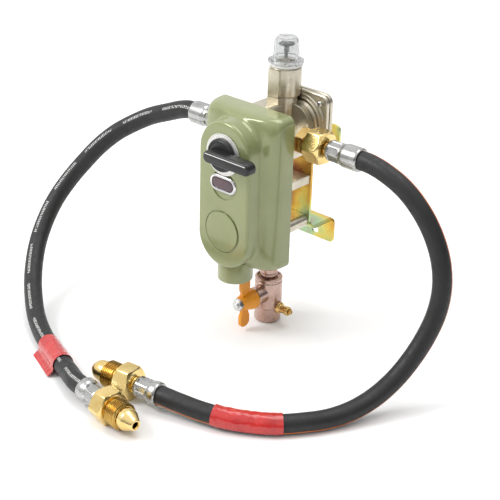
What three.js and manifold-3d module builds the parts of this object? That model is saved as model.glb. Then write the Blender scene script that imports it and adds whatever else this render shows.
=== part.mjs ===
// Two-cylinder changeover gas regulator kit: wall bracket, changeover unit, second-stage regulator with
// over-pressure tower, outlet ball valve, and two hoses that end in male cylinder fittings.
// Millimetres, +Z up. The wall plane is Y = 0, the selector knob faces -Y, and +X is to the right of
// someone who faces the knob. The origin is on the bracket's back face, above its lower screw hole.
import * as THREE from 'three';
import { mergeVertices } from 'three/addons/utils/BufferGeometryUtils.js';
import Module from 'manifold-3d';

const wasm = await Module();
wasm.setup();

// ---------- driving dimensions ----------
const GAP = 0.3;                 // clearance between touching castings

const FACE_Y = -130;             // front face of the cover's oblong boss
const SHOULDER_Y = -115;         // where the boss meets the cover's shoulders
const COVER_BACK_Y = -89.5;
const COVER = { half: 39.5, low: -6.5, high: 132.5, corner: 8, wall: 3 };
const BOSS = { half: 24.5, low: -5.5, high: 123.5 };
const KNOB_Z = 99;
const WINDOW = { x: 0.5, z: 72.5, half: 12, tall: 5 };
const DISC = { z: 28.5, r: 18, proud: 1 };
const LOWER_CUP = { y: -112, r: 15.5, low: -21.5 };

const LEVER = { left: -11, right: 40, half: 5.5, back: -135.4, front: -144.5 };
const KNOB_R = 14.5;
const CAM = { r: 10, off: 1, back: -101, front: -108 };
const FOLLOWER = { r: 2, start: 0.7, length: 17, y: -104.5 };

// Inlet heights on each side, and how far the left inlet's fittings sit further in than the right one's.
const PORT = { y: -70, left: 97.5, right: 105, bore: 4.5 };
const INSET = { left: 7.5, right: 0 };
const NIPPLE = { start: 35, hexEnd: 44, end: 56, r: 8 };
const UNION = { start: 44.8, end: 62, across: 27, bore: 8.3, neck: 6.3 };
const TAIL_START = 56.3;
const FERRULE_START = 64;
const HOSE_START = 98.3;         // distance of the right hose's first point from the centre plane
const HOSE_R = 8.2;
const FERRULE_R = 10.3;

// The second stage's square flange is centred at x, z.
const STAGE = { x: 12.5, z: 110.5, half: 28.5, corner: 8, screw: 20.6, chamber: 18, boss: 19.5, rib: [20, 26] };
const LAYER = { coverBack: -38, coverFront: -42, bodyBack: -43.1, bodyFront: -46.5, chamberFront: -49.5 };
const BONNET = { r: 24, back: -31.6 };
const TOWER = { y: -54, r: 14, low: 134.5, high: 159.7 };
const COLUMN = { r: 11.8, low: 95, well: 122 };
const PAD = { half: 6, foot: 9.2, y: -69.7, high: 158.5 };  // flat cast pad down the front of tower and column
const BLOCK = { half: 34.7, back: -56, low: 90, high: 111 };
const CAP = { low: 162.3, top: 184.5, r: 11, flange: 15.5, wall: 1.5 };

const WEB = { half: 15, back: -28.5, front: -31, low: 4, high: 72.5 };
const SHEET = 2.5;
const FOOT = { half: 21, low: -18.5, hole: 4, holeZ: -11.5 };
const EAR = { half: 22, high: 95.5, holeZ: 84 };
const LUG = { half: 14, upperLow: 47, upperHigh: 55.5, lowerZ: 10, lowerR: 6, back: -31.3 };

const VALVE = { y: -66, top: -36, low: -79.5, axis: -51.5, r: 12.5, socket: 7.5, bossEnd: -86 };
const HANDLE = { hub: 8, back: -92.5, front: -104.5, half: 24, thick: 3 };
const TEST = { z: -64.5, start: 13, end: 25.5, r: 4 };

// Fittings that screw into the cylinder valves, as distances from the end of the hose.
const CYLINDER = { ferrule: 24, hex: 26.5, thread: 41.5, nose: 57, tip: 71, across: 27, threadR: 11.6 };

// Centre line of each hose, from its union to its cylinder fitting.
const LEFT_ROUTE = [
  [-90.8, -70, 97.5], [-97, -70, 97.4], [-107, -70, 94.8], [-122, -70.8, 88.7], [-142, -74.5, 80.2],
  [-159, -81, 70], [-173.5, -88.8, 59], [-186, -98, 45.3], [-197, -108.5, 28.5], [-205, -121, 11.5], [-208, -136, -5],
  [-205, -152, -20.5], [-197, -168.5, -34.5], [-185, -184, -46], [-170.5, -198.5, -55.5],
  [-154, -212, -62.5], [-135.5, -225.2, -67.8], [-115, -236.8, -71], [-95, -246.3, -71.7],
  [-76, -254.3, -71.2], [-57, -262.8, -70], [-39, -270.6, -68.4], [-25, -277, -66.8], [-20, -278.2, -66.5],
  [-12.2, -279.3, -66.5],
];
const RIGHT_ROUTE = [
  [98.3, -70, 105], [106, -70, 104.9], [122, -70, 101.6], [141.5, -69, 92.8], [158, -67.5, 78.5],
  [171, -66.5, 61], [180.5, -66.8, 41], [186, -70, 20.5], [187, -76, 0], [184.5, -85, -19.5],
  [180.5, -97, -37], [176, -112, -51.5], [170.5, -130, -62.5], [164, -149.5, -69], [155.5, -169, -71.8],
  [144.5, -187.5, -71.8], [131, -204, -71.8], [114, -217.5, -71.4], [96, -228, -70.6], [76.5, -235.4, -69.4],
  [59, -240.6, -67.6], [49.3, -243.2, -66.5], [40.3, -244.1, -66.5],
];

// ---------- shape helpers ----------
const Z_AXIS = new THREE.Vector3(0, 0, 1);

function toSolid(geometry) {
  const bare = geometry.clone();
  bare.deleteAttribute('normal');
  bare.deleteAttribute('uv');
  const merged = mergeVertices(bare, 1e-4);
  return new wasm.Manifold(new wasm.Mesh({
    numProp: 3,
    vertProperties: new Float32Array(merged.attributes.position.array),
    triVerts: new Uint32Array(merged.index.array),
  }));
}

function toGeometry(solid) {
  const mesh = solid.getMesh();
  const geometry = new THREE.BufferGeometry();
  geometry.setAttribute('position', new THREE.BufferAttribute(new Float32Array(mesh.vertProperties), 3));
  geometry.setIndex(new THREE.BufferAttribute(new Uint32Array(mesh.triVerts), 1));
  geometry.computeVertexNormals();
  return geometry;
}

function join(...geometries) {
  return toGeometry(geometries.map(toSolid).reduce((whole, next) => whole.add(next)));
}

function cut(geometry, ...tools) {
  return toGeometry(tools.map(toSolid).reduce((whole, next) => whole.subtract(next), toSolid(geometry)));
}

function box(x0, x1, y0, y1, z0, z1) {
  return new THREE.BoxGeometry(x1 - x0, y1 - y0, z1 - z0)
    .translate((x0 + x1) / 2, (y0 + y1) / 2, (z0 + z1) / 2);
}

// Turns a Z-axis shape to point along a level direction, with its own X axis up, and moves its start there.
function aim(geometry, direction, x, y, z) {
  const sideways = new THREE.Vector3().crossVectors(direction, Z_AXIS);
  return geometry.applyMatrix4(new THREE.Matrix4().makeBasis(Z_AXIS, sideways, direction)).translate(x, y, z);
}

// A rod from z0 to z1 about the Z axis.
function rod(r, z0, z1, sides = 16) {
  return new THREE.CylinderGeometry(r, r, z1 - z0, sides).rotateX(Math.PI / 2).translate(0, 0, (z0 + z1) / 2);
}

const rodX = (r, x0, x1, y, z, sides) => aim(rod(r, x0, x1, sides), new THREE.Vector3(1, 0, 0), 0, y, z);
const rodY = (r, y0, y1, x, z, sides) => aim(rod(r, y0, y1, sides), new THREE.Vector3(0, 1, 0), x, 0, z);

// A hexagon `across` its flats, with two flats facing up and down once it is aimed level.
function hexagon(across, z0, z1) {
  return rod(across / Math.sqrt(3), z0, z1, 6);
}

// A solid of revolution about Z from [radius, z] pairs.
function turned(profile, sides = 18) {
  const points = profile.map(([r, z]) => new THREE.Vector2(r, z));
  return new THREE.LatheGeometry(points, sides).rotateX(Math.PI / 2);
}

// A ring of revolution with a bore, whose profile closes on itself.
function ring(inner, outer, z0, z1, sides = 18) {
  return turned([[inner, z0], [outer, z0], [outer, z1], [inner, z1], [inner, z0]], sides);
}

// Points of a rounded rectangle in the X-Z plane at depth y.
function outline(y, half, low, high, corner, perCorner = 6) {
  const centres = [
    [half - corner, high - corner, 0], [-half + corner, high - corner, 1],
    [-half + corner, low + corner, 2], [half - corner, low + corner, 3],
  ];
  return centres.flatMap(([cx, cz, quarter]) => Array.from({ length: perCorner }, (_, i) => {
    const angle = (quarter + i / (perCorner - 1)) * Math.PI / 2;
    return new THREE.Vector3(cx + corner * Math.cos(angle), y, cz + corner * Math.sin(angle));
  }));
}

// A closed solid through outlines of equal point count, with flat ends of the given triangles.
function loft(rings, capFaces) {
  const count = rings[0].length;
  const faces = [];
  for (let k = 0; k < rings.length - 1; k += 1) {
    for (let i = 0; i < count; i += 1) {
      const a = k * count + i;
      const b = k * count + (i + 1) % count;
      faces.push(a, a + count, b, b, a + count, b + count);
    }
  }
  const last = (rings.length - 1) * count;
  capFaces.forEach(([a, b, c]) => faces.push(a, b, c, last + a, last + c, last + b));
  const geometry = new THREE.BufferGeometry();
  geometry.setAttribute('position', new THREE.Float32BufferAttribute(rings.flat().flatMap((p) => p.toArray()), 3));
  geometry.setIndex(faces);
  return geometry;
}

const fan = (count) => Array.from({ length: count - 2 }, (_, i) => [0, i + 1, i + 2]);

// Outlines [y, half, low, high, corner] from front to back, joined as one shell surface.
function outlineLoft(rows) {
  const rings = rows.map((row) => outline(...row));
  return loft(rings, fan(rings[0].length));
}

// A flat piece with a shape drawn in X and Z, from yBack forward by `depth`.
function plate(shape, yBack, depth) {
  return new THREE.ExtrudeGeometry(shape, { depth, bevelEnabled: false, curveSegments: 8 })
    .rotateX(Math.PI / 2).translate(0, yBack, 0);
}

function roundedShape(half, low, high, corner, x = 0) {
  const points = outline(0, half, low, high, corner).map((p) => new THREE.Vector2(p.x + x, p.z));
  return new THREE.Shape(points);
}

const slotShape = (x, z, half, tall) => roundedShape(half, z - tall, z + tall, tall - 0.01, x);

function curveOf(route) {
  return new THREE.CatmullRomCurve3(route.map((p) => new THREE.Vector3(...p)), false, 'centripetal');
}

function hoseTube(route) {
  const circle = new THREE.Shape();
  circle.absarc(0, 0, HOSE_R, 0, Math.PI * 2);
  return new THREE.ExtrudeGeometry(circle, {
    steps: 26, curveSegments: 5, bevelEnabled: false, extrudePath: curveOf(route),
  });
}

// Sweeps a closed section of [sideways, upward] points along part of a route, keeping it upright.
function sweepUpright(route, from, to, steps, section) {
  const curve = curveOf(route);
  const rings = Array.from({ length: steps + 1 }, (_, i) => {
    const u = from + (to - from) * i / steps;
    const centre = curve.getPointAt(u);
    const along = curve.getTangentAt(u);
    const side = new THREE.Vector3().crossVectors(along, Z_AXIS).normalize();
    const up = new THREE.Vector3().crossVectors(side, along);
    return section.map(([s, t]) => centre.clone().addScaledVector(side, s).addScaledVector(up, t));
  });
  const flat = section.map(([s, t]) => new THREE.Vector2(s, t));
  return loft(rings, THREE.ShapeUtils.triangulateShape(flat, []));
}

// A coil of wire about Z whose ends stay open in the air.
function coil(radius, wire, z0, z1, turns) {
  const points = Array.from({ length: turns * 8 + 1 }, (_, i) => {
    const angle = i / 8 * Math.PI * 2;
    return new THREE.Vector3(radius * Math.cos(angle), radius * Math.sin(angle), z0 + (z1 - z0) * i / (turns * 8));
  });
  const circle = new THREE.Shape();
  circle.absarc(0, 0, wire, 0, Math.PI * 2);
  return new THREE.ExtrudeGeometry(circle, {
    steps: turns * 8, curveSegments: 2, bevelEnabled: false, extrudePath: new THREE.CatmullRomCurve3(points),
  });
}

// ---------- materials ----------
const finish = (color, roughness, metalness) => ({ color, roughness, metalness });
const FINISH = {
  green: finish(0x8c9273, 0.35, 0.2),
  casting: finish(0xb9b7b0, 0.45, 0.9),
  brass: finish(0xc9a24f, 0.3, 1),
  steel: finish(0xc4c6c8, 0.3, 1),
  zinc: finish(0xb39a4e, 0.35, 0.9),
  black: finish(0x151515, 0.4, 0),
  rubber: finish(0x1b1b1c, 0.75, 0),
  orange: finish(0xe8951c, 0.4, 0.1),
  red: finish(0xc8262b, 0.5, 0),
  clear: finish(0xdedede, 0.1, 0),
  white: finish(0xe9e8e2, 0.5, 0),
  lens: finish(0x4a2c3f, 0.1, 0),
  valve: finish(0xc3a496, 0.3, 0.9),
};

const object = new THREE.Group();

function add(name, look, geometry) {
  const material = new THREE.MeshStandardMaterial(FINISH[look]);
  if (look === 'clear') {
    material.transparent = true;
    material.opacity = 0.35;
  }
  const mesh = new THREE.Mesh(geometry, material);
  mesh.name = name;
  object.add(mesh);
  return mesh;
}

// The two sides carry the same pieces, pointing along -X and +X.
const SIDES = [['left', -1], ['right', 1]];

// ---------- wall bracket ----------
function addBracket() {
  const footShape = roundedShape(FOOT.half, FOOT.low, WEB.low + SHEET, 4);
  const earShape = roundedShape(EAR.half, WEB.high - SHEET, EAR.high, 6);
  const bracket = join(
    box(-WEB.half, WEB.half, WEB.front, WEB.back, WEB.low, WEB.high),
    box(-WEB.half, WEB.half, WEB.front, 0, WEB.low, WEB.low + SHEET),
    box(-WEB.half, WEB.half, WEB.front, 0, WEB.high - SHEET, WEB.high),
    plate(footShape, 0, SHEET),
    plate(earShape, 0, SHEET),
  );
  const past = 1;
  const screwHole = 2.8;
  const screwZ = { upper: (LUG.upperLow + LUG.upperHigh) / 2, lower: LUG.lowerZ + 1.5 };
  add('wall_bracket', 'zinc', cut(
    bracket,
    rodY(FOOT.hole, -SHEET - past, past, 0, FOOT.holeZ),
    rodY(FOOT.hole, -SHEET - past, past, 0, EAR.holeZ),
    ...Object.values(screwZ).map((z) => rodY(screwHole, WEB.front - past, WEB.back + past, 0, z)),
  ));
  Object.entries(screwZ).forEach(([which, z]) => {
    const screw = turned([[0, 0], [2, 0], [2, 14], [4.5, 14], [4.5, 16], [3, 17.5], [0, 17.5]], 16);
    const slot = box(-5, 5, -0.5, 0.5, 16.6, 19);
    const threadStart = WEB.back + GAP - 14;
    add(`bracket_screw_${which}`, 'steel', aim(cut(screw, slot), new THREE.Vector3(0, 1, 0), 0, threadStart, z));
  });
}

// ---------- changeover unit ----------
function addCover() {
  const { half, low, high, corner, wall } = COVER;
  const outer = outlineLoft([
    [FACE_Y, BOSS.half - 2.6, BOSS.low + 2.6, BOSS.high - 2.6, BOSS.half - 2.61],
    [FACE_Y + 0.8, BOSS.half - 0.8, BOSS.low + 0.8, BOSS.high - 0.8, BOSS.half - 0.81],
    [FACE_Y + 2.6, BOSS.half, BOSS.low, BOSS.high, BOSS.half - 0.01],
    [SHOULDER_Y - 2, BOSS.half + 0.8, BOSS.low - 0.2, BOSS.high + 0.6, BOSS.half],
    [SHOULDER_Y, BOSS.half + 2.2, BOSS.low - 0.4, BOSS.high + 1.6, BOSS.half],
    [SHOULDER_Y + 1.2, half - 8.5, BOSS.low - 0.5, high - 5.5, corner + 6],
    [SHOULDER_Y + 3.4, half - 3.4, low + 0.4, high - 2.6, corner + 3],
    [SHOULDER_Y + 7.5, half - 0.8, low + 0.2, high - 0.8, corner + 1],
    [COVER_BACK_Y, half, low, high, corner],
  ]);
  const inner = outlineLoft([
    [FACE_Y + wall, BOSS.half - wall - 0.5, BOSS.low + wall + 0.5, BOSS.high - wall - 0.5, BOSS.half - wall - 0.51],
    [SHOULDER_Y + wall - 1, BOSS.half - wall, BOSS.low + wall, BOSS.high - wall, BOSS.half - wall - 0.01],
    [SHOULDER_Y + wall + 2.4, half - 9, low + wall, high - 7, corner + 4],
    [SHOULDER_Y + wall + 6, half - wall - 0.8, low + wall, high - wall - 0.8, corner - 2],
    [COVER_BACK_Y + 1, half - wall, low + wall, high - wall, corner - wall],
  ]);
  const cupTop = COVER.low + 2;
  const shell = join(
    outer,
    plate(new THREE.Shape().absarc(0, DISC.z, DISC.r, 0, Math.PI * 2), FACE_Y + 1, 1 + DISC.proud),
    rod(LOWER_CUP.r, LOWER_CUP.low, cupTop).translate(0, LOWER_CUP.y, 0),
  );
  const opened = cut(
    shell,
    inner,
    rodY(4.3, FACE_Y - 2, FACE_Y + wall + 2, 0, KNOB_Z),
    plate(slotShape(WINDOW.x, WINDOW.z, WINDOW.half - 1.6, WINDOW.tall - 1.4), FACE_Y + wall + 2, wall + 4),
    rod(LOWER_CUP.r - wall, LOWER_CUP.low + wall, COVER.low + wall + 1).translate(0, LOWER_CUP.y, 0),
  );
  const railHalf = BOSS.half - wall + 0.5;
  const rails = [-5.2, 5.2].map((dz) => box(
    -railHalf, railHalf, FACE_Y + wall - 0.5, FACE_Y + wall + 7, WINDOW.z + dz - 0.7, WINDOW.z + dz + 0.7,
  ));
  add('changeover_cover', 'green', join(opened, ...rails));
}

function addFront() {
  const seat = FACE_Y - GAP;
  const dial = new THREE.Shape().absarc(0, KNOB_Z, 18.4, 0, Math.PI * 2);
  dial.holes.push(new THREE.Path().absarc(0, KNOB_Z, 4.6, 0, Math.PI * 2));
  add('dial_plate', 'white', plate(dial, seat, 1));

  const bezel = slotShape(WINDOW.x, WINDOW.z, WINDOW.half + 2.8, WINDOW.tall + 2.6);
  bezel.holes.push(new THREE.Path(slotShape(WINDOW.x, WINDOW.z, WINDOW.half, WINDOW.tall).getPoints()));
  add('window_bezel', 'steel', plate(bezel, seat, 1.3));
  const lensShape = slotShape(WINDOW.x, WINDOW.z, WINDOW.half - GAP, WINDOW.tall - GAP);
  add('window_lens', 'lens', plate(lensShape, seat, 0.9));

  const flagBack = FACE_Y + COVER.wall + 5.5;
  const flagFront = FACE_Y + COVER.wall + GAP;
  const flag = box(-19.5, 9.5, flagFront, flagBack, WINDOW.z - 4.2, WINDOW.z + 4.2);
  add('indicator_flag', 'red', flag);

  const hubFront = LEVER.back;
  const hub = aim(turned([[0, 0], [KNOB_R, 0], [KNOB_R, 2.6], [KNOB_R - 1.4, 3.9], [0, 3.9]], 20),
    new THREE.Vector3(0, -1, 0), 0, hubFront + 3.8, KNOB_Z);
  const leverMid = (LEVER.left + LEVER.right) / 2;
  const leverHalf = (LEVER.right - LEVER.left) / 2;
  const grip = (grow, back, depth) => plate(roundedShape(
    leverHalf - grow, KNOB_Z - LEVER.half + grow, KNOB_Z + LEVER.half - grow, LEVER.half - grow - 0.3, leverMid,
  ), back, depth);
  const lever = join(grip(0, LEVER.back, 7.6), grip(1.2, LEVER.back - 7, LEVER.back - 7 - LEVER.front));
  const spindleSeat = 6;
  add('selector_knob', 'black', cut(
    join(hub, lever),
    rodY(3.3, FACE_Y - spindleSeat - GAP, FACE_Y, 0, KNOB_Z),
  ));

  const spindle = join(
    rodY(3, FACE_Y - spindleSeat, CAM.back + 3, 0, KNOB_Z),
    rodY(CAM.r, CAM.front, CAM.back, CAM.off, KNOB_Z, 20),
  );
  add('selector_spindle', 'steel', spindle);
  SIDES.forEach(([side, sign]) => {
    const inner = CAM.r + sign * CAM.off + FOLLOWER.start;
    const pin = join(
      rod(FOLLOWER.r, inner, inner + FOLLOWER.length, 16),
      rod(3.6, inner, inner + 2, 16),
    );
    add(`cam_follower_${side}`, 'brass', aim(pin, new THREE.Vector3(sign, 0, 0), 0, FOLLOWER.y, KNOB_Z));
  });
}

function addChangeoverBody() {
  const plateFront = COVER_BACK_Y + GAP;
  const plateBack = plateFront + 5.2;
  const backPlate = plate(roundedShape(COVER.half - 2.5, COVER.low + 2.5, COVER.high - 2.5, 12), plateBack, 5.2);
  const joinBack = LAYER.chamberFront - GAP;
  const columnTop = TOWER.low - GAP;
  const column = rod(COLUMN.r, COLUMN.low, columnTop, 20).translate(0, TOWER.y, 0);
  const footing = new THREE.Shape([
    new THREE.Vector2(-PAD.foot, COLUMN.low), new THREE.Vector2(PAD.foot, COLUMN.low),
    new THREE.Vector2(PAD.half, columnTop), new THREE.Vector2(-PAD.half, columnTop),
  ]);
  const parts = join(
    backPlate,
    box(-BLOCK.half, BLOCK.half, plateBack - 1, BLOCK.back, BLOCK.low, BLOCK.high),
    rodY(17, BLOCK.back - 1, joinBack, STAGE.x, STAGE.z, 20),
    cut(column, box(-20, 20, joinBack, 0, COLUMN.low - 1, TOWER.low)),
    plate(footing, TOWER.y, TOWER.y - PAD.y),
    box(-18, 18, plateBack - 1, VALVE.y, -2, 90),
    rod(13, -20, 10).translate(0, VALVE.y, 0),
    box(-LUG.half, LUG.half, VALVE.y - 1, LUG.back, LUG.upperLow, LUG.upperHigh),
    plate(
      roundedShape(LUG.half, LUG.lowerZ - LUG.lowerR, LUG.lowerZ + LUG.lowerR, LUG.lowerR - 0.5),
      LUG.back, LUG.back - VALVE.y + 1,
    ),
    ...[-1, 1].map((side) => box(side * 19.5 - 3.5, side * 19.5 + 3.5, -109.5, plateFront + 1, KNOB_Z - 5, KNOB_Z + 5)),
  );
  const screwBore = 2.3;
  const upperZ = (LUG.upperLow + LUG.upperHigh) / 2;
  const stemWell = rod(6.5, COLUMN.well, TOWER.low).translate(0, TOWER.y, 0);
  const across = join(
    rodX(PORT.bore, -BLOCK.half - 1, 2, PORT.y, PORT.left),
    rodX(PORT.bore, -2, BLOCK.half + 1, PORT.y, PORT.right),
    rod(PORT.bore, PORT.left - 1, PORT.right + 1, 16).translate(0, PORT.y, 0),
  );
  add('changeover_body', 'casting', cut(
    parts,
    across,
    rod(8.3, -21, -12).translate(0, VALVE.y, 0),
    rod(4, -13, 60, 14).translate(0, VALVE.y - 5, 0),
    stemWell,
    rodY(screwBore, LUG.back - 16, LUG.back + 1, 0, upperZ, 16),
    rodY(screwBore, LUG.back - 16, LUG.back + 1, 0, LUG.lowerZ + 1.5, 16),
    rodX(FOLLOWER.r + GAP, -30, 30, FOLLOWER.y, KNOB_Z, 14),
  ));
}

// ---------- second-stage regulator ----------
function addSecondStage() {
  const { x, z, half, corner, chamber, boss, rib } = STAGE;
  const square = () => roundedShape(half, z - half, z + half, corner, x);
  const towerNotch = () => rod(TOWER.r + GAP + 0.2, TOWER.low - GAP, z + half + 1, 20).translate(0, TOWER.y, 0);
  const screwAt = [[-1, -1], [1, -1], [-1, 1], [1, 1]].map((corners) => corners.map((sign) => sign * STAGE.screw));
  const screwHoles = (from, to) => screwAt.map(([dx, dz]) => rodY(1.9, from, to, x + dx, z + dz, 14));

  const bodyDepth = LAYER.bodyBack - LAYER.bodyFront;
  add('second_stage_body', 'casting', cut(
    join(
      plate(square(), LAYER.bodyBack, bodyDepth),
      rodY(boss, LAYER.chamberFront, LAYER.bodyFront + 1, x, z, 24),
      cut(rodY(rib[1], LAYER.bodyFront - 1.6, LAYER.bodyFront + 1, x, z, 24),
        rodY(rib[0], LAYER.bodyFront - 3, LAYER.bodyFront, x, z, 24)),
    ),
    rodY(chamber, LAYER.chamberFront + 2, LAYER.bodyBack + 1, x, z, 20),
    rodY(4, LAYER.chamberFront - 1, LAYER.chamberFront + 3, x, z),
    towerNotch(),
    ...screwHoles(LAYER.bodyFront - 3, LAYER.bodyBack + 1),
  ));

  add('second_stage_cover', 'casting', cut(
    join(
      plate(square(), LAYER.coverBack, LAYER.coverBack - LAYER.coverFront),
      rodY(BONNET.r, LAYER.coverBack - 1, BONNET.back, x, z, 24),
    ),
    rodY(chamber, LAYER.coverFront - 1, BONNET.back - 2, x, z, 20),
    rodY(1.2, BONNET.back - 3, BONNET.back + 1, x + 14, z, 12),
    towerNotch(),
    ...screwHoles(LAYER.coverFront - 1, LAYER.coverBack + 1),
  ));

  const sheetMid = (LAYER.coverFront + LAYER.bodyBack) / 2;
  const alongY = new THREE.Vector3(0, 1, 0);
  const inside = (geometry) => aim(geometry, alongY, x, sheetMid, z);
  add('diaphragm', 'rubber', inside(ring(12.3, chamber + 2, -0.3, 0.3, 24)));
  add('diaphragm_plate', 'steel', inside(join(rod(12, -1, 1, 20), rod(6, -2.4, 1.6), rod(2.6, -3.6, 2, 16))));
  add('main_spring', 'steel', inside(coil(8.5, 0.7, 1.9, 4.6, 2)));

  screwAt.forEach(([dx, dz], index) => {
    const screw = cut(
      turned([[0, 0], [2.6, 0], [2.6, 2.2], [1.6, 2.2], [1.6, 10.4], [0, 10.4]], 14),
      box(-0.4, 0.4, -3, 3, -1, 0.9),
    );
    add(`flange_screw_${index + 1}`, 'steel', aim(screw, alongY, x + dx, LAYER.bodyFront - 2.2 - GAP, z + dz));
  });
}

// ---------- over-pressure shut-off tower ----------
function addTower() {
  const at = (geometry) => geometry.translate(0, TOWER.y, 0);
  const topWall = TOWER.high - 2;
  const column = at(turned([
    [7, TOWER.low], [TOWER.r, TOWER.low], [TOWER.r, TOWER.high - 1.2], [TOWER.r - 1, TOWER.high],
    [4.5, TOWER.high], [2.9, TOWER.high + 6.3], [2.1, TOWER.high + 6.3], [2.1, topWall], [7, topWall],
    [7, TOWER.low],
  ], 24));
  const padBack = TOWER.y - TOWER.r + 4;
  add('opso_tower', 'casting', join(column, box(-PAD.half, PAD.half, PAD.y, padBack, TOWER.low, PAD.high)));
  add('opso_rim_ring', 'white', at(ring(8, 14.8, TOWER.high + GAP, CAP.low - GAP, 24)));
  add('opso_cap', 'clear', at(turned([
    [9.3, CAP.low], [CAP.flange, CAP.low], [CAP.flange, CAP.low + 2.2], [CAP.r + 0.6, CAP.low + 3.2],
    [CAP.r - 0.4, CAP.top - 2.5], [CAP.r - 2.2, CAP.top], [0, CAP.top], [0, CAP.top - CAP.wall],
    [CAP.r - 2.6, CAP.top - CAP.wall - 0.4], [9.3, CAP.low],
  ], 20)));
  add('opso_stem', 'steel', at(turned([
    [0, 134], [1.75, 134], [1.75, 140], [5, 140], [5, 142], [1.75, 142], [1.75, 176.6], [3, 177.6],
    [7, 177.8], [7, 179.2], [0, 179.2],
  ], 14)));
  add('opso_spring', 'steel', at(coil(5.2, 0.5, 143.2, 156.6, 4)));
}

// ---------- inlets and the regulator ends of the hoses ----------
function addInlets() {
  SIDES.forEach(([side, sign]) => {
    const outward = new THREE.Vector3(sign, 0, 0);
    const inset = INSET[side];
    const seat = (geometry, shift = inset) => aim(geometry, outward, -sign * shift, PORT.y, PORT[side]);
    const hexEnd = NIPPLE.hexEnd - inset;
    add(`inlet_nipple_${side}`, 'brass', seat(cut(
      join(hexagon(22, NIPPLE.start, hexEnd), rod(NIPPLE.r, hexEnd - 1, NIPPLE.end - inset)),
      rod(4, NIPPLE.start - 1, NIPPLE.end + 1, 16),
    ), 0));
    const nutShoulder = TAIL_START + 2.6;
    add(`union_nut_${side}`, 'brass', seat(cut(
      hexagon(UNION.across, UNION.start, UNION.end),
      rod(UNION.bore, UNION.start - 1, nutShoulder),
      rod(UNION.neck, nutShoulder - 1, UNION.end + 1),
    )));
    add(`hose_tail_${side}`, 'brass', seat(turned([
      [3.2, TAIL_START], [7.8, TAIL_START], [7.8, nutShoulder - GAP], [6, nutShoulder - GAP],
      [6, FERRULE_START - GAP], [3.2, FERRULE_START - GAP], [3.2, TAIL_START],
    ])));
    add(`regulator_ferrule_${side}`, 'steel', seat(turned([
      [3.2, FERRULE_START], [7.5, FERRULE_START], [9, FERRULE_START + 2], [9.4, FERRULE_START + 16],
      [FERRULE_R, FERRULE_START + 19], [FERRULE_R, HOSE_START - GAP - 0.8], [9.5, HOSE_START - GAP],
      [3.2, HOSE_START - GAP], [3.2, FERRULE_START],
    ])));
  });
}

// ---------- hoses and cylinder fittings ----------
function addHoses() {
  Object.entries({ left: LEFT_ROUTE, right: RIGHT_ROUTE }).forEach(([side, route]) => {
    add(`hose_${side}`, 'rubber', hoseTube(route));
    const [x, y, z] = route.at(-1);
    const direction = new THREE.Vector3(x, y, z).sub(new THREE.Vector3(...route.at(-2))).normalize();
    const seat = (geometry) => aim(geometry, direction, x, y, z);
    const { ferrule, hex, thread, nose, tip, across, threadR } = CYLINDER;
    add(`cylinder_ferrule_${side}`, 'steel', seat(turned([
      [3.2, GAP], [9.5, GAP], [FERRULE_R, GAP + 0.8], [FERRULE_R, 7], [9.4, 10], [9, ferrule - 1.5],
      [7.5, ferrule], [3.2, ferrule], [3.2, GAP],
    ])));
    add(`cylinder_nut_${side}`, 'brass', seat(cut(
      join(hexagon(across, hex, thread), rod(threadR, thread - 1, nose - 0.5)),
      rod(5.8, hex - 1, nose + 1, 14),
    )));
    add(`bullnose_stem_${side}`, 'brass', seat(turned([
      [2.4, ferrule + GAP], [7.5, ferrule + GAP], [7.5, hex - GAP], [5.5, hex - GAP], [5.5, nose],
      [9.2, nose], [9.2, nose + 5.5], [5.4, tip - 1], [4.2, tip], [2.4, tip], [2.4, ferrule + GAP],
    ])));
  });
}

// Red tags: a short wrap over the top of the hose that hangs down at one side.
function addLabels() {
  const inside = HOSE_R + 2 * GAP;
  const outside = inside + 0.5;
  const arc = (r, from, to) => Array.from({ length: 8 }, (_, i) => {
    const angle = THREE.MathUtils.degToRad(from + (to - from) * i / 7);
    return [r * Math.cos(angle), r * Math.sin(angle)];
  });
  const wrap = (flap) => [...arc(outside, -10, 215), ...arc(inside, 215, -10), ...flap];
  const leftFlap = [[9.2, -5.5], [14, -8.6], [14.4, -8.1], [9.8, -5.1]];
  const rightFlap = [[9.2, -4.5], [11.6, -7.4], [12.1, -7.1], [9.8, -4.2]];
  add('hose_label_left', 'red', sweepUpright(LEFT_ROUTE, 0.805, 0.895, 5, wrap(leftFlap)));
  add('hose_label_right', 'red', sweepUpright(RIGHT_ROUTE, 0.755, 0.885, 7, wrap(rightFlap)));
}

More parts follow.
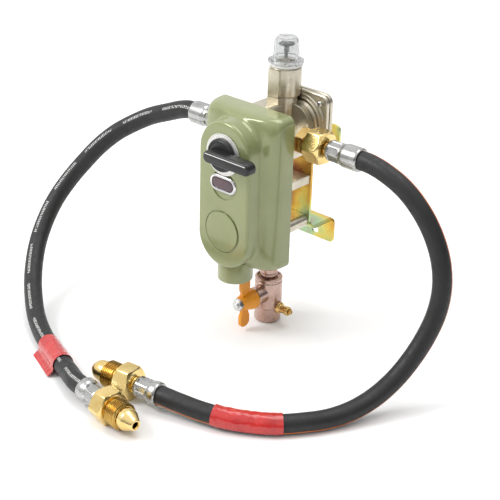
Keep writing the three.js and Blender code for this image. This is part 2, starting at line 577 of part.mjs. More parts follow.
// ---------- outlet valve ----------
function addValve() {
  const at = (geometry) => geometry.translate(0, VALVE.y, 0);
  const toFront = new THREE.Vector3(0, -1, 0);
  const inFront = (geometry) => aim(geometry, toFront, 0, VALVE.y, VALVE.axis);
  const bossLength = VALVE.y - VALVE.bossEnd;
  add('outlet_neck', 'brass', at(ring(5, 8, -43.7, -12.3)));

  const ballR = 8;
  add('valve_body', 'valve', cut(
    join(
      at(turned([[0, VALVE.low], [11.6, VALVE.low], [12, VALVE.low + 1], [12, -66], [VALVE.r, -64],
        [VALVE.r, -40], [VALVE.r - 0.8, -39], [VALVE.r - 0.8, VALVE.top], [0, VALVE.top]], 20)),
      inFront(rod(8.5, 6, bossLength)),
      rodX(5.4, 6, TEST.start, VALVE.y, TEST.z, 14),
    ),
    at(rod(8.3, -44, VALVE.top + 1)),
    at(rod(ballR + 0.4, VALVE.axis - ballR - 1, -43)),
    at(rod(5.5, -67, -58, 14)),
    at(rod(VALVE.socket, VALVE.low - 1, -66)),
    inFront(rod(3.3, 5, bossLength + 1, 14)),
    inFront(rod(5.2, bossLength - 5, bossLength + 1, 14)),
    rodX(1.6, 6, TEST.start + 1, VALVE.y, TEST.z, 12),
  ));

  add('valve_ball', 'steel', cut(
    new THREE.SphereGeometry(ballR, 16, 12).rotateX(Math.PI / 2).translate(0, VALVE.y, VALVE.axis),
    at(rod(5, -70, -30, 14)),
    inFront(box(-4, 4, -1.3, 1.3, 6, 10)),
  ));
  const hubLength = VALVE.y - HANDLE.front;
  add('valve_stem', 'steel', inFront(join(
    box(-3, 3, -0.9, 0.9, 6.3, 9.5),
    rod(3, 9, hubLength + 6, 14),
  )));
  add('gland_nut', 'black', inFront(cut(hexagon(15, bossLength + GAP, bossLength + 5), rod(3.3, 0, 60, 14))));

  const hubBack = VALVE.y - HANDLE.back;
  const wing = (sign, inner, back) => {
    const reach = [sign * inner, sign * HANDLE.half].sort((a, b) => a - b);
    return box(-HANDLE.thick / 2, HANDLE.thick / 2, HANDLE.front + 1, back, VALVE.axis + reach[0], VALVE.axis + reach[1]);
  };
  const wings = [-1, 1].flatMap((sign) => [wing(sign, 6, HANDLE.back), wing(sign, 11, HANDLE.back + 5)]);
  add('valve_handle', 'orange', cut(
    join(inFront(rod(HANDLE.hub, hubBack, hubLength)), ...wings),
    inFront(rod(3.3, 0, 60, 14)),
  ));
  add('handle_nut', 'steel', inFront(cut(hexagon(10, hubLength + GAP, hubLength + 4.5), rod(3.3, 0, 60, 14))));

  const nipple = ring(1.6, TEST.r, TEST.start + GAP, TEST.end, 14);
  add('test_nipple', 'brass', aim(cut(
    join(nipple, ring(1.6, 5.4, TEST.start + GAP, TEST.start + 2.5, 14)),
    rod(2.6, TEST.end - 7, TEST.end + 1, 16),
  ), new THREE.Vector3(1, 0, 0), 0, VALVE.y, TEST.z));
  add('test_seal', 'rubber', rodX(2.3, TEST.end - 6.7, TEST.end - 5.5, VALVE.y, TEST.z, 16));
  add('test_screw', 'steel', cut(
    rodX(2.3, TEST.end - 5.2, TEST.end + 2.5, VALVE.y, TEST.z, 16),
    box(TEST.end + 1.3, TEST.end + 4, VALVE.y - 4, VALVE.y + 4, TEST.z - 0.45, TEST.z + 0.45),
  ));
}

addBracket();
addCover();
addFront();
addChangeoverBody();
addSecondStage();
addTower();
addInlets();
addHoses();
addLabels();
addValve();

export default object;
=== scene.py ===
"""Two-cylinder gas changeover regulator with its hoses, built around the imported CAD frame."""

import math

import bmesh
import bpy
from mathutils import Matrix, Vector, noise


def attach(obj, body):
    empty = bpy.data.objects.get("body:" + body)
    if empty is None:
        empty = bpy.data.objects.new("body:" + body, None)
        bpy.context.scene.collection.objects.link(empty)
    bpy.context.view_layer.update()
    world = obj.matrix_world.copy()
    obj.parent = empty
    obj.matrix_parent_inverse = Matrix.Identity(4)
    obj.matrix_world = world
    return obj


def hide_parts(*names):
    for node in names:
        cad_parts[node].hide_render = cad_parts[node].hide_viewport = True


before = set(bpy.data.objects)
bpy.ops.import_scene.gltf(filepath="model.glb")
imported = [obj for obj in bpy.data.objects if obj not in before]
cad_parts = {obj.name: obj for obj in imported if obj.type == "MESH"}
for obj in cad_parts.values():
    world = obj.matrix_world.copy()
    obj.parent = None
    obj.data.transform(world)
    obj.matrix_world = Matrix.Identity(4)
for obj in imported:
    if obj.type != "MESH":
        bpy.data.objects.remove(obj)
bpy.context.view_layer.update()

MM = 0.001
Z_UP = Vector((0, 0, 1))
SIDES = (("left", -1), ("right", 1))

# ---------- places that the CAD source uses, in millimetres ----------
FLOOR_Z = -80
FACE_Y = -130
KNOB_Z = 99
DISC_Z = 28.5
TOWER_Y = -54
STAGE_X = 12.5
STAGE_Z = 110.5
PORT_Y = -70
PORT_Z = {"left": 97.5, "right": 105}
INSET = {"left": 7.5, "right": 0}
VALVE_Y = -66
VALVE_Z = -51.5
BALL_POCKET = 8.3
TEST_Z = -64.5
HOSE_R = 8.2
LINE_STEPS = 10
BRACKET_SCREWS = (("upper", 51.25), ("lower", 11.5))

# Along a cylinder fitting, from the end of its hose: the hexagon, the thread, the nose and the tip.
HEX, THREAD, NOSE, TIP = 26.5, 41.5, 57, 71
HEX_ACROSS = 27

LEFT_ROUTE = [
    (-90.8, -70, 97.5), (-97, -70, 97.4), (-107, -70, 94.8), (-122, -70.8, 88.7), (-142, -74.5, 80.2),
    (-159, -81, 70), (-173.5, -88.8, 59), (-186, -98, 45.3), (-197, -108.5, 28.5), (-205, -121, 11.5),
    (-208, -136, -5), (-205, -152, -20.5), (-197, -168.5, -34.5), (-185, -184, -46),
    (-170.5, -198.5, -55.5), (-154, -212, -62.5), (-135.5, -225.2, -67.8), (-115, -236.8, -71),
    (-95, -246.3, -71.7), (-76, -254.3, -71.2), (-57, -262.8, -70), (-39, -270.6, -68.4),
    (-25, -277, -66.8), (-20, -278.2, -66.5), (-12.2, -279.3, -66.5),
]
RIGHT_ROUTE = [
    (98.3, -70, 105), (106, -70, 104.9), (122, -70, 101.6), (141.5, -69, 92.8), (158, -67.5, 78.5),
    (171, -66.5, 61), (180.5, -66.8, 41), (186, -70, 20.5), (187, -76, 0), (184.5, -85, -19.5),
    (180.5, -97, -37), (176, -112, -51.5), (170.5, -130, -62.5), (164, -149.5, -69), (155.5, -169, -71.8),
    (144.5, -187.5, -71.8), (131, -204, -71.8), (114, -217.5, -71.4), (96, -228, -70.6),
    (76.5, -235.4, -69.4), (59, -240.6, -67.6), (49.3, -243.2, -66.5), (40.3, -244.1, -66.5),
]
ROUTES = {"left": LEFT_ROUTE, "right": RIGHT_ROUTE}


# ---------- camera ----------
def add_camera():
    azimuth, elevation, roll = math.radians(41), math.radians(26), math.radians(1.75)
    distance = 1.1966
    right = Vector((math.cos(azimuth), math.sin(azimuth), 0))
    ahead = Vector((
        -math.sin(azimuth) * math.cos(elevation),
        math.cos(azimuth) * math.cos(elevation),
        -math.sin(elevation),
    ))
    up = right.cross(ahead)
    level = right * math.cos(roll) + up * math.sin(roll)
    above = up * math.cos(roll) - right * math.sin(roll)
    target = Vector((0, -0.130, 0.0185)) + level * 0.0241 - above * 0.00684
    data = bpy.data.cameras.new("camera")
    data.sensor_width, data.lens = 36, 100.8
    data.clip_start, data.clip_end = 0.05, 50
    camera = bpy.data.objects.new("camera", data)
    camera.matrix_world = Matrix((level, above, -ahead)).transposed().to_4x4()
    camera.location = target - ahead * distance
    bpy.context.scene.collection.objects.link(camera)
    bpy.context.scene.camera = camera


add_camera()


# ---------- lines ----------
def catmull(points, steps):
    """Centripetal Catmull-Rom line through the points, with this many steps from each to the next."""
    p = [Vector(q) for q in points]
    p = [2 * p[0] - p[1], *p, 2 * p[-1] - p[-2]]
    line = []
    for p0, p1, p2, p3 in zip(p, p[1:], p[2:], p[3:]):
        d0, d1, d2 = (math.sqrt((b - a).length) for a, b in ((p0, p1), (p1, p2), (p2, p3)))
        t1 = ((p1 - p0) / d0 - (p2 - p0) / (d0 + d1) + (p2 - p1) / d1) * d1
        t2 = ((p2 - p1) / d1 - (p3 - p1) / (d1 + d2) + (p3 - p2) / d2) * d1
        for k in range(steps):
            s = k / steps
            a, b = s * s, s * s * s
            line.append(p1 * (2 * b - 3 * a + 1) + t1 * (b - 2 * a + s) + p2 * (3 * a - 2 * b) + t2 * (b - a))
    return [*line, p[-2]]


def soften(points, radius, steps=3, closed=False):
    """Rounds the corners of a line of [across, along] points. A third number is that corner's own radius."""
    count, line = len(points), []
    for i, point in enumerate(points):
        p = Vector(point[:2])
        own = point[2] if len(point) > 2 else radius
        before, after = Vector(points[i - 1][:2]) - p, Vector(points[(i + 1) % count][:2]) - p
        at_end = not closed and i in (0, count - 1)
        if at_end or own <= 0 or not before.length or not after.length or before.angle(after) > 2.95:
            line.append(p)
            continue
        reach = min(own, before.length * 0.48, after.length * 0.48)
        a, b = p + before.normalized() * reach, p + after.normalized() * reach
        for k in range(steps + 1):
            t = k / steps
            line.append(a * (1 - t) ** 2 + p * 2 * t * (1 - t) + b * t * t)
    return line


def rounded(half, low, high, corner, x=0.0, per_corner=10):
    """A rounded rectangle's points, as [across, up] pairs, anticlockwise from its right side."""
    centres = ((half - corner, high - corner), (corner - half, high - corner),
               (corner - half, low + corner), (half - corner, low + corner))
    line = []
    for quarter, (cx, cz) in enumerate(centres):
        for k in range(per_corner):
            angle = (quarter + k / (per_corner - 1)) * math.pi / 2
            line.append(Vector((x + cx + corner * math.cos(angle), cz + corner * math.sin(angle))))
    return line


# ---------- mesh builders, all in millimetres ----------
def basis(axis):
    """Columns that turn a shape about Z to point along axis, with its own X axis up where axis is level."""
    axis = Vector(axis).normalized()
    if abs(axis.z) > 0.99:
        return Matrix(((1, 0, 0), (0, axis.z, 0), (0, 0, axis.z)))
    side = axis.cross(Z_UP).normalized()
    return Matrix((side.cross(axis), side, axis)).transposed()


def mesh_piece(name, vertices, faces):
    mesh = bpy.data.meshes.new(name)
    mesh.from_pydata([Vector(v) * MM for v in vertices], [], faces)
    piece = bpy.data.objects.new(name, mesh)
    bpy.context.scene.collection.objects.link(piece)
    return piece


def skin(name, rings, loop=False):
    """A closed surface through rings of equal point count. A ring of one point is a pole."""
    vertices, faces, starts = [], [], []
    for ring in rings:
        starts.append(len(vertices))
        vertices.extend(ring)
    pairs = list(zip(range(len(rings)), range(1, len(rings))))
    if loop:
        pairs.append((len(rings) - 1, 0))
    for a, b in pairs:
        count = max(len(rings[a]), len(rings[b]))
        for i in range(count):
            j = (i + 1) % count
            quad = [starts[a] + i % len(rings[a]), starts[a] + j % len(rings[a]),
                    starts[b] + j % len(rings[b]), starts[b] + i % len(rings[b])]
            face = list(dict.fromkeys(quad))
            if len(face) > 2:
                faces.append(face)
    if not loop:
        for at, flip in ((0, True), (len(rings) - 1, False)):
            if len(rings[at]) > 1:
                cap = list(range(starts[at], starts[at] + len(rings[at])))
                faces.append(cap[::-1] if flip else cap)
    piece = mesh_piece(name, vertices, faces)
    tidy_normals(piece)
    return piece


def tidy_normals(piece):
    bm = bmesh.new()
    bm.from_mesh(piece.data)
    bmesh.ops.remove_doubles(bm, verts=bm.verts, dist=1e-7)
    bmesh.ops.recalc_face_normals(bm, faces=bm.faces)
    bm.to_mesh(piece.data)
    bm.free()


def turned(name, profile, at=(0, 0, 0), axis=Z_UP, sides=72, shape=None):
    """A solid of revolution from [radius, along] points. shape(radius, along, angle) may change each radius.
    A profile that ends where it begins is a ring with a bore."""
    turn, origin = basis(axis), Vector(at)
    loop = (Vector(profile[0][:2]) - Vector(profile[-1][:2])).length < 1e-6
    rings = []
    for radius, along in (profile[:-1] if loop else profile):
        if radius <= 1e-6:
            rings.append([origin + turn @ Vector((0, 0, along))])
            continue
        ring = []
        for k in range(sides):
            angle = 2 * math.pi * k / sides
            r = shape(radius, along, angle) if shape else radius
            ring.append(origin + turn @ Vector((r * math.cos(angle), r * math.sin(angle), along)))
        rings.append(ring)
    return skin(name, rings, loop)


def lathe(name, points, radius, steps, at, axis, sides=72, shape=None):
    """A turned piece whose corners are rounded to this radius."""
    return turned(name, soften(points, radius, steps), at, axis, sides, shape)


def rod(radius, low, high, at, axis, sides=72):
    """A plain round bar, to cut a hole with."""
    return turned("rod", [(0, low), (radius, low), (radius, high), (0, high)], at, axis, sides)


def prism(name, outline, low, high, axis=(0, -1, 0), at=(0, 0, 0)):
    """An outline of [across, up] points drawn seen from the front, from low to high along the axis."""
    axis = Vector(axis)
    if abs(axis.z) > 0.99:
        across, up = Vector((1, 0, 0)), Vector((0, 1, 0))
    else:
        up, across = Z_UP, Z_UP.cross(axis)
    origin = Vector(at)
    rings = [[origin + across * p[0] + up * p[1] + axis * d for p in outline] for d in (low, high)]
    return skin(name, rings)


def block(name, x, y, z):
    (x0, x1), (y0, y1), (z0, z1) = x, y, z
    base = [Vector((x0, y0, 0)), Vector((x1, y0, 0)), Vector((x1, y1, 0)), Vector((x0, y1, 0))]
    return skin(name, [[p + Vector((0, 0, z0)) for p in base], [p + Vector((0, 0, z1)) for p in base]])


def bake(piece):
    """Applies a piece's modifiers to its mesh."""
    bpy.context.view_layer.update()
    graph = bpy.context.evaluated_depsgraph_get()
    mesh = bpy.data.meshes.new_from_object(piece.evaluated_get(graph))
    piece.modifiers.clear()
    piece.data = mesh
    return piece


def combine(piece, others, operation):
    for other in others:
        modifier = piece.modifiers.new("combine", "BOOLEAN")
        modifier.operation, modifier.solver, modifier.object = operation, "EXACT", other
    bake(piece)
    for other in others:
        bpy.data.objects.remove(other)
    return piece


def carve(piece, *others):
    return combine(piece, others, "DIFFERENCE")


def fuse(piece, *others):
    return combine(piece, others, "UNION")


def bevel(piece, width, segments=3, angle=35):
    modifier = piece.modifiers.new("edge", "BEVEL")
    modifier.width, modifier.segments = width * MM, segments
    modifier.limit_method, modifier.angle_limit = "ANGLE", math.radians(angle)
    modifier.use_clamp_overlap = True
    modifier.miter_outer = "MITER_ARC"
    return piece


def smooth(piece, angle=32):
    piece.data.shade_smooth()
    piece.data.set_sharp_from_angle(angle=math.radians(angle))
    return piece


def place(piece, look, nodes=(), body="regulator", angle=32):
    """Gives a new piece its look and body, and hides the CAD nodes that it stands for."""
    material, slot = LOOKS[look]
    piece.data.materials.clear()
    piece.data.materials.append(material)
    smooth(piece, angle)
    if nodes:
        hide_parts(*nodes)
    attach(piece, body)
    return piece


# ---------- materials ----------
class Nodes:
    """Builds one node material around a Principled shader."""

    def __init__(self, name, **values):
        self.material = bpy.data.materials.new(name)
        self.material.use_nodes = True
        self.tree = self.material.node_tree
        self.shader = self.tree.nodes["Principled BSDF"]
        for key, value in values.items():
            self.shader.inputs[key.replace("_", " ")].default_value = value
        self.where = self.tree.nodes.new("ShaderNodeTexCoord").outputs["Object"]

    def link(self, output, socket):
        self.tree.links.new(output, socket)

    def noise(self, scale, detail=3.0, rough=0.5, vector=None):
        node = self.tree.nodes.new("ShaderNodeTexNoise")
        node.inputs["Scale"].default_value = scale
        node.inputs["Detail"].default_value = detail
        node.inputs["Roughness"].default_value = rough
        self.link(vector or self.where, node.inputs["Vector"])
        return node.outputs["Fac"]

    def ramp(self, factor, stops):
        node = self.tree.nodes.new("ShaderNodeValToRGB")
        elements = node.color_ramp.elements
        while len(elements) < len(stops):
            elements.new(0.5)
        for element, (position, colour) in zip(elements, stops):
            element.position = position
            element.color = (*colour, 1)
        self.link(factor, node.inputs["Fac"])
        return node.outputs["Color"]

    def spread(self, factor, low, high, start=0.3, end=0.7):
        node = self.tree.nodes.new("ShaderNodeMapRange")
        for key, value in (("From Min", start), ("From Max", end), ("To Min", low), ("To Max", high)):
            node.inputs[key].default_value = value
        self.link(factor, node.inputs["Value"])
        return node.outputs["Result"]

    def maths(self, operation, a, b=0.0, c=0.0):
        node = self.tree.nodes.new("ShaderNodeMath")
        node.operation = operation
        for socket, value in zip(node.inputs, (a, b, c)):
            if isinstance(value, (int, float)):
                socket.default_value = value
            else:
                self.link(value, socket)
        return node.outputs["Value"]

    def mix(self, factor, a, b):
        node = self.tree.nodes.new("ShaderNodeMix")
        node.data_type = "RGBA"
        sockets = [s for s in node.inputs if s.type == "RGBA"]
        if isinstance(factor, (int, float)):
            node.inputs[0].default_value = factor
        else:
            self.link(factor, node.inputs[0])
        for socket, value in zip(sockets, (a, b)):
            if isinstance(value, tuple):
                socket.default_value = (*value, 1)
            else:
                self.link(value, socket)
        return next(s for s in node.outputs if s.type == "RGBA")

    def colour(self, output):
        self.link(output, self.shader.inputs["Base Color"])

    def roughness(self, output):
        self.link(output, self.shader.inputs["Roughness"])

    def bump(self, height, distance, strength=1.0):
        """distance is in millimetres."""
        node = self.tree.nodes.new("ShaderNodeBump")
        node.inputs["Distance"].default_value = distance * MM
        node.inputs["Strength"].default_value = strength
        self.link(height, node.inputs["Height"])
        old = self.shader.inputs["Normal"].links
        if old:
            self.link(old[0].from_socket, node.inputs["Normal"])
        self.link(node.outputs["Normal"], self.shader.inputs["Normal"])


def mottled(name, low, high, rough, grain, grain_scale, patch_scale=40, **values):
    """Colour that drifts between two tones, roughness in a range, and a fine grain of a depth in mm."""
    made = Nodes(name, **values)
    patches = made.noise(patch_scale, 4)
    made.colour(made.ramp(patches, [(0.3, low), (0.7, high)]))
    made.roughness(made.spread(made.noise(patch_scale * 6, 4), *rough))
    made.bump(made.noise(grain_scale, 3), grain)
    return made


def green_paint():
    return mottled("green_paint", (0.248, 0.276, 0.118), (0.278, 0.306, 0.138), (0.18, 0.26), 0.006, 260,
                   Metallic=0.15, Coat_Weight=0.6, Coat_Roughness=0.10).material


def die_casting():
    made = mottled("die_casting", (0.52, 0.48, 0.38), (0.68, 0.63, 0.52), (0.26, 0.42), 0.010, 900, 60,
                   Metallic=0.95)
    made.bump(made.noise(160, 3), 0.03)
    return made.material


def metal(name, low, high, rough, grain_scale=800, patch_scale=80, metallic=1.0):
    return mottled(name, low, high, rough, 0.003, grain_scale, patch_scale, Metallic=metallic).material


def brass(name, low, high, rough):
    return metal(name, low, high, rough, 900, 90)


def zinc():
    made = Nodes("yellow_zinc", Metallic=0.9)
    film = made.noise(24, 2.5, 0.45)
    made.colour(made.ramp(film, [
        (0.30, (0.26, 0.08, 0.07)), (0.40, (0.48, 0.20, 0.06)), (0.48, (0.80, 0.52, 0.09)),
        (0.56, (0.72, 0.66, 0.18)), (0.64, (0.40, 0.58, 0.34)), (0.72, (0.55, 0.25, 0.22)),
    ]))
    made.roughness(made.spread(made.noise(200, 4), 0.24, 0.42))
    made.bump(made.noise(700, 3), 0.02)
    return made.material


def plastic(name, low, high, rough, grain=0.02, **values):
    return mottled(name, low, high, rough, grain, 1100, 60, **values).material


def hose_rubber(name, side, tracer=False):
    """Black rubber with fine drawn lines along it, and a row of plain printed dashes or a coloured tracer."""
    made = Nodes(name)
    uv = made.tree.nodes.new("ShaderNodeUVMap")
    uv.uv_map = "along"
    split = made.tree.nodes.new("ShaderNodeSeparateXYZ")
    made.link(uv.outputs["UV"], split.inputs["Vector"])
    around, along = split.outputs["X"], split.outputs["Y"]
    rubber = made.ramp(made.noise(55, 4), [(0.3, (0.0085, 0.0085, 0.009)), (0.7, (0.014, 0.014, 0.015))])
    made.roughness(made.spread(made.noise(260, 4), 0.42, 0.62))
    stretch = made.tree.nodes.new("ShaderNodeMapping")
    stretch.inputs["Scale"].default_value = (60, 6, 1)
    made.link(uv.outputs["UV"], stretch.inputs["Vector"])
    made.bump(made.noise(1, 2, vector=stretch.outputs["Vector"]), 0.05)
    made.bump(made.noise(1500, 3), 0.02)

    def band(value, centre, half):
        return made.maths("LESS_THAN", made.maths("ABSOLUTE", made.maths("SUBTRACT", value, centre)), half)

    if tracer:
        mark = band(around, side, 0.022)
        ink = (0.62, 0.16, 0.02)
    else:
        # Strokes a millimetre or two long, in groups with gaps, between two edges of a narrow band.
        stroke = made.maths("FRACT", made.maths("MULTIPLY", along, 0.55))
        group = made.maths("FRACT", made.maths("MULTIPLY", along, 0.021))
        wide = made.maths("LESS_THAN", stroke, 0.52)
        shown = made.maths("LESS_THAN", group, 0.72)
        ragged = made.maths("GREATER_THAN", made.noise(900, 1), 0.42)
        mark = made.maths("MULTIPLY", made.maths("MULTIPLY", wide, shown),
                          made.maths("MULTIPLY", band(around, side, 0.026), ragged))
        ink = (0.62, 0.62, 0.60)
    made.colour(made.mix(mark, rubber, ink))
    return made.material


def red_tape():
    return mottled("red_tape", (0.44, 0.012, 0.014), (0.60, 0.030, 0.026), (0.16, 0.30), 0.10, 260, 70,
                   Coat_Weight=0.5).material


def clear_plastic():
    made = Nodes("clear_plastic", Transmission_Weight=0.90, IOR=1.28)
    made.colour(made.ramp(made.noise(60, 3), [(0.3, (0.78, 0.79, 0.79)), (0.7, (0.86, 0.86, 0.86))]))
    made.roughness(made.spread(made.noise(150, 3), 0.06, 0.12))
    made.bump(made.noise(240, 3), 0.01)
    return made.material


def window_lens():
    made = Nodes("window_lens", Transmission_Weight=0.55, IOR=1.45, Coat_Weight=0.6)
    made.colour(made.ramp(made.noise(70, 2), [(0.35, (0.09, 0.06, 0.075)), (0.65, (0.19, 0.07, 0.10))]))
    made.roughness(made.spread(made.noise(200, 3), 0.05, 0.12))
    made.bump(made.noise(300, 2), 0.01)
    return made.material


# Each look is a material and the slot that it fills.
LOOKS = {
    "green": (green_paint(), "green_paint"),
    "casting": (die_casting(), "die_casting"),
    "brass": (brass("brass", (0.62, 0.40, 0.13), (0.80, 0.56, 0.23), (0.16, 0.30)), "brass"),
    "bright_brass": (brass("bright_brass", (0.78, 0.56, 0.20), (0.90, 0.70, 0.32), (0.14, 0.26)), "brass"),
    # The thread's brass is darker than the other brass: painted shade for the thread's grooves.
    "thread": (brass("thread_brass_painted_shade", (0.44, 0.27, 0.06), (0.58, 0.38, 0.11), (0.20, 0.30)), "brass"),
    "steel": (metal("plated_steel", (0.60, 0.60, 0.60), (0.78, 0.78, 0.77), (0.16, 0.28)), "plated_steel"),
    "crimp": (metal("crimped_steel", (0.38, 0.38, 0.37), (0.52, 0.52, 0.51), (0.20, 0.30)), "plated_steel"),
    "stem": (metal("stem_steel", (0.10, 0.10, 0.105), (0.16, 0.16, 0.165), (0.22, 0.32), metallic=0.9),
             "plated_steel"),
    "dial": (metal("dial_metal", (0.70, 0.69, 0.66), (0.84, 0.83, 0.80), (0.24, 0.36), 900, metallic=0.6),
             "dial_metal"),
    "valve": (mottled("nickel_brass", (0.46, 0.30, 0.25), (0.58, 0.42, 0.36), (0.26, 0.30), 0.001, 700, 70,
                      Metallic=1.0).material, "nickel_brass"),
    "zinc": (zinc(), "yellow_zinc"),
    "black": (plastic("black_plastic", (0.008, 0.008, 0.009), (0.013, 0.013, 0.014), (0.28, 0.42)),
              "black_plastic"),
    "orange": (plastic("orange_plastic", (0.78, 0.27, 0.010), (0.88, 0.36, 0.018), (0.30, 0.42)),
               "orange_plastic"),
    "white": (plastic("white_plastic", (0.74, 0.74, 0.71), (0.82, 0.82, 0.79), (0.35, 0.5)), "white_plastic"),
    "flag": (plastic("indicator_red", (0.42, 0.02, 0.02), (0.52, 0.035, 0.03), (0.35, 0.5)), "indicator_red"),
    "seal": (plastic("seal_rubber", (0.010, 0.010, 0.011), (0.016, 0.016, 0.017), (0.55, 0.7)),
             "seal_rubber"),
    "rubber_left": (hose_rubber("hose_rubber_printed", 0.84), "hose_rubber"),
    "rubber_right": (hose_rubber("hose_rubber_traced", 0.94, tracer=True), "hose_rubber"),
    "red": (red_tape(), "red_tape"),
    "clear": (clear_plastic(), "clear_plastic"),
    "lens": (window_lens(), "window_lens"),
}


# ---------- hoses ----------
def tube(name, line, radius, sides=48):
    """A round tube on a line in mm, with a UV map of turns round it and millimetres along it."""
    count = len(line)
    tangents = [(line[min(i + 1, count - 1)] - line[max(i - 1, 0)]).normalized() for i in range(count)]
    normal = tangents[0].cross(Z_UP).cross(tangents[0]).normalized()
    rings, lengths, run = [], [], 0.0
    for i, (centre, tangent) in enumerate(zip(line, tangents)):
        normal = (normal - tangent * normal.dot(tangent)).normalized()
        side = tangent.cross(normal)
        if i:
            run += (centre - line[i - 1]).length
        lengths.append(run)
        rings.append([
            centre + (normal * math.cos(a) + side * math.sin(a)) * radius
            for a in (2 * math.pi * k / sides for k in range(sides))
        ])
    piece = skin(name, rings)
    layer = piece.data.uv_layers.new(name="along")
    for polygon in piece.data.polygons:
        corners = [(piece.data.loops[c].vertex_index, c) for c in polygon.loop_indices]
        turns = [(v % sides) / sides for v, _ in corners]
        wraps = len(corners) == 4 and max(turns) - min(turns) > 0.5
        for (v, c), turn in zip(corners, turns):
            layer.data[c].uv = (turn + 1 if wraps and turn < 0.5 else turn, lengths[v // sides])
    return piece


def add_hoses():
    for side, _ in SIDES:
        line = catmull(ROUTES[side], LINE_STEPS)
        piece = tube(f"rubber_hose_{side}", line, HOSE_R)
        place(piece, f"rubber_{side}", [f"hose_{side}"])


# ---------- floor and light ----------
def add_studio():
    corners = ((-1, -1), (1, -1), (1, 1), (-1, 1))
    floor = mesh_piece("floor", [(x * 9000, y * 9000, FLOOR_Z) for x, y in corners], [(0, 1, 2, 3)])
    paper = Nodes("floor_paper", Roughness=0.9)
    paper.colour(paper.ramp(paper.noise(8, 2), [(0.3, (0.94, 0.94, 0.94)), (0.7, (0.96, 0.96, 0.96))]))
    floor.data.materials.append(paper.material)

    # The sky is dark low down and towards +X, which gives polished metal and the cover's right side contrast.
    world = bpy.data.worlds.new("studio")
    world.use_nodes = True
    tree = world.node_tree
    background = tree.nodes["Background"]
    where, split, lean, shift, ramp = (tree.nodes.new("ShaderNode" + kind) for kind in (
        "TexCoord", "SeparateXYZ", "Math", "MapRange", "ValToRGB"))
    lean.operation = "MULTIPLY_ADD"
    lean.inputs[1].default_value = -0.45
    shift.inputs["From Min"].default_value = -1
    shift.inputs["From Max"].default_value = 1
    for output, socket in (
        (where.outputs["Generated"], split.inputs["Vector"]), (split.outputs["X"], lean.inputs[0]),
        (split.outputs["Z"], lean.inputs[2]), (lean.outputs["Value"], shift.inputs["Value"]),
        (shift.outputs["Result"], ramp.inputs["Fac"]), (ramp.outputs["Color"], background.inputs["Color"]),
    ):
        tree.links.new(output, socket)
    low, high = ramp.color_ramp.elements
    low.position, low.color = 0.50, (0.10, 0.10, 0.11, 1)
    high.position, high.color = 0.80, (1, 1, 1, 1)
    background.inputs["Strength"].default_value = 1.05
    bpy.context.scene.world = world

    def lamp(name, place_m, size, power, aim=(0.0, -0.12, 0.03)):
        data = bpy.data.lights.new(name, "AREA")
        data.shape, data.size, data.size_y, data.energy = "RECTANGLE", size[0], size[1], power
        light = bpy.data.objects.new(name, data)
        light.location = place_m
        light.rotation_euler = (Vector(aim) - Vector(place_m)).to_track_quat("-Z", "Y").to_euler()
        bpy.context.scene.collection.objects.link(light)

    lamp("key", (-1.1, -1.5, 1.7), (0.9, 0.9), 26)
    lamp("fill", (1.8, -1.1, 1.0), (0.8, 1.4), 2)
    lamp("top", (0.1, 0.3, 2.1), (1.6, 1.0), 15)
    bpy.context.scene.view_settings.view_transform = "Standard"


add_studio()


# ---------- pieces that several places share ----------
def dress(name, look, edge=0.0):
    """Gives a CAD node its look, and rounds its edges where edge is a width in mm."""
    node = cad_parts[name]
    node.data.materials.clear()
    node.data.materials.append(LOOKS[look][0])
    if edge:
        flat = node.modifiers.new("flat", "DECIMATE")
        flat.decimate_type, flat.angle_limit = "DISSOLVE", math.radians(1)
        bevel(node, edge)


def hex_radius(across, angle, corner_up):
    turn = angle if corner_up else angle + math.pi / 6
    return across / 2 / math.cos(turn % (math.pi / 3) - math.pi / 6)


def nut(name, across, low, high, bore, at, axis, corner_up=False, ends=(1.0, 1.0)):
    """A hexagon nut whose corners are turned away at both ends; ends say how far each chamfer runs."""
    flat, corner = across / 2, across / math.sqrt(3)
    steps = 6
    profile = [(bore, low), (flat * 0.93, low)]
    for k in range(1, steps + 1):
        profile.append((flat * 0.93 + (corner - flat * 0.93) * k / steps, low + ends[0] * k / steps))
    for k in range(steps, 0, -1):
        profile.append((flat * 0.93 + (corner - flat * 0.93) * k / steps, high - ends[1] * k / steps))
    profile += [(flat * 0.93, high), (bore, high)]
    if bore > 0:
        profile.append((bore, low))
    return turned(
        name, profile, at, axis, 96,
        lambda r, _, a: min(r, hex_radius(across, a, corner_up), corner * 0.985),
    )


def ferrule(name, profile, crimp, at, axis):
    """A crimped sleeve, with eight flats pressed into it between the two ends of the crimp."""
    fine = []
    for a, b in zip(profile, profile[1:]):
        steps = max(1, round(abs(b[1] - a[1]) / 0.8))
        fine += [(a[0] + (b[0] - a[0]) * k / steps, a[1] + (b[1] - a[1]) * k / steps) for k in range(steps)]
    fine.append(profile[-1])

    def shape(radius, along, angle):
        if radius < 5 or not crimp[0] < along < crimp[1]:
            return radius
        turn = (angle % (math.pi / 4)) - math.pi / 8
        if abs(turn) > 0.27:
            return radius
        return min(radius, (radius * 0.92 - 0.35) / math.cos(turn))

    return turned(name, fine, at, axis, 96, shape)


def slotted_head(name, profile, at, axis, slot, cross=False):
    """A turned screw head with a straight or crossed driver slot in its outer end."""
    piece = turned(name, profile, at, axis, 40)
    turn, origin = basis(axis), Vector(at)
    half, width, low, high = slot
    cutters = []
    for spin in ((0, 1) if cross else (0,)):
        long, short = (half, width / 2) if spin == 0 else (width / 2, half)
        ring = [(-long, -short), (long, -short), (long, short), (-long, short)]
        rings = [[origin + turn @ Vector((a, b, z)) for a, b in ring] for z in (low, high)]
        cutters.append(skin(name + "_slot", rings))
    return carve(piece, *cutters)


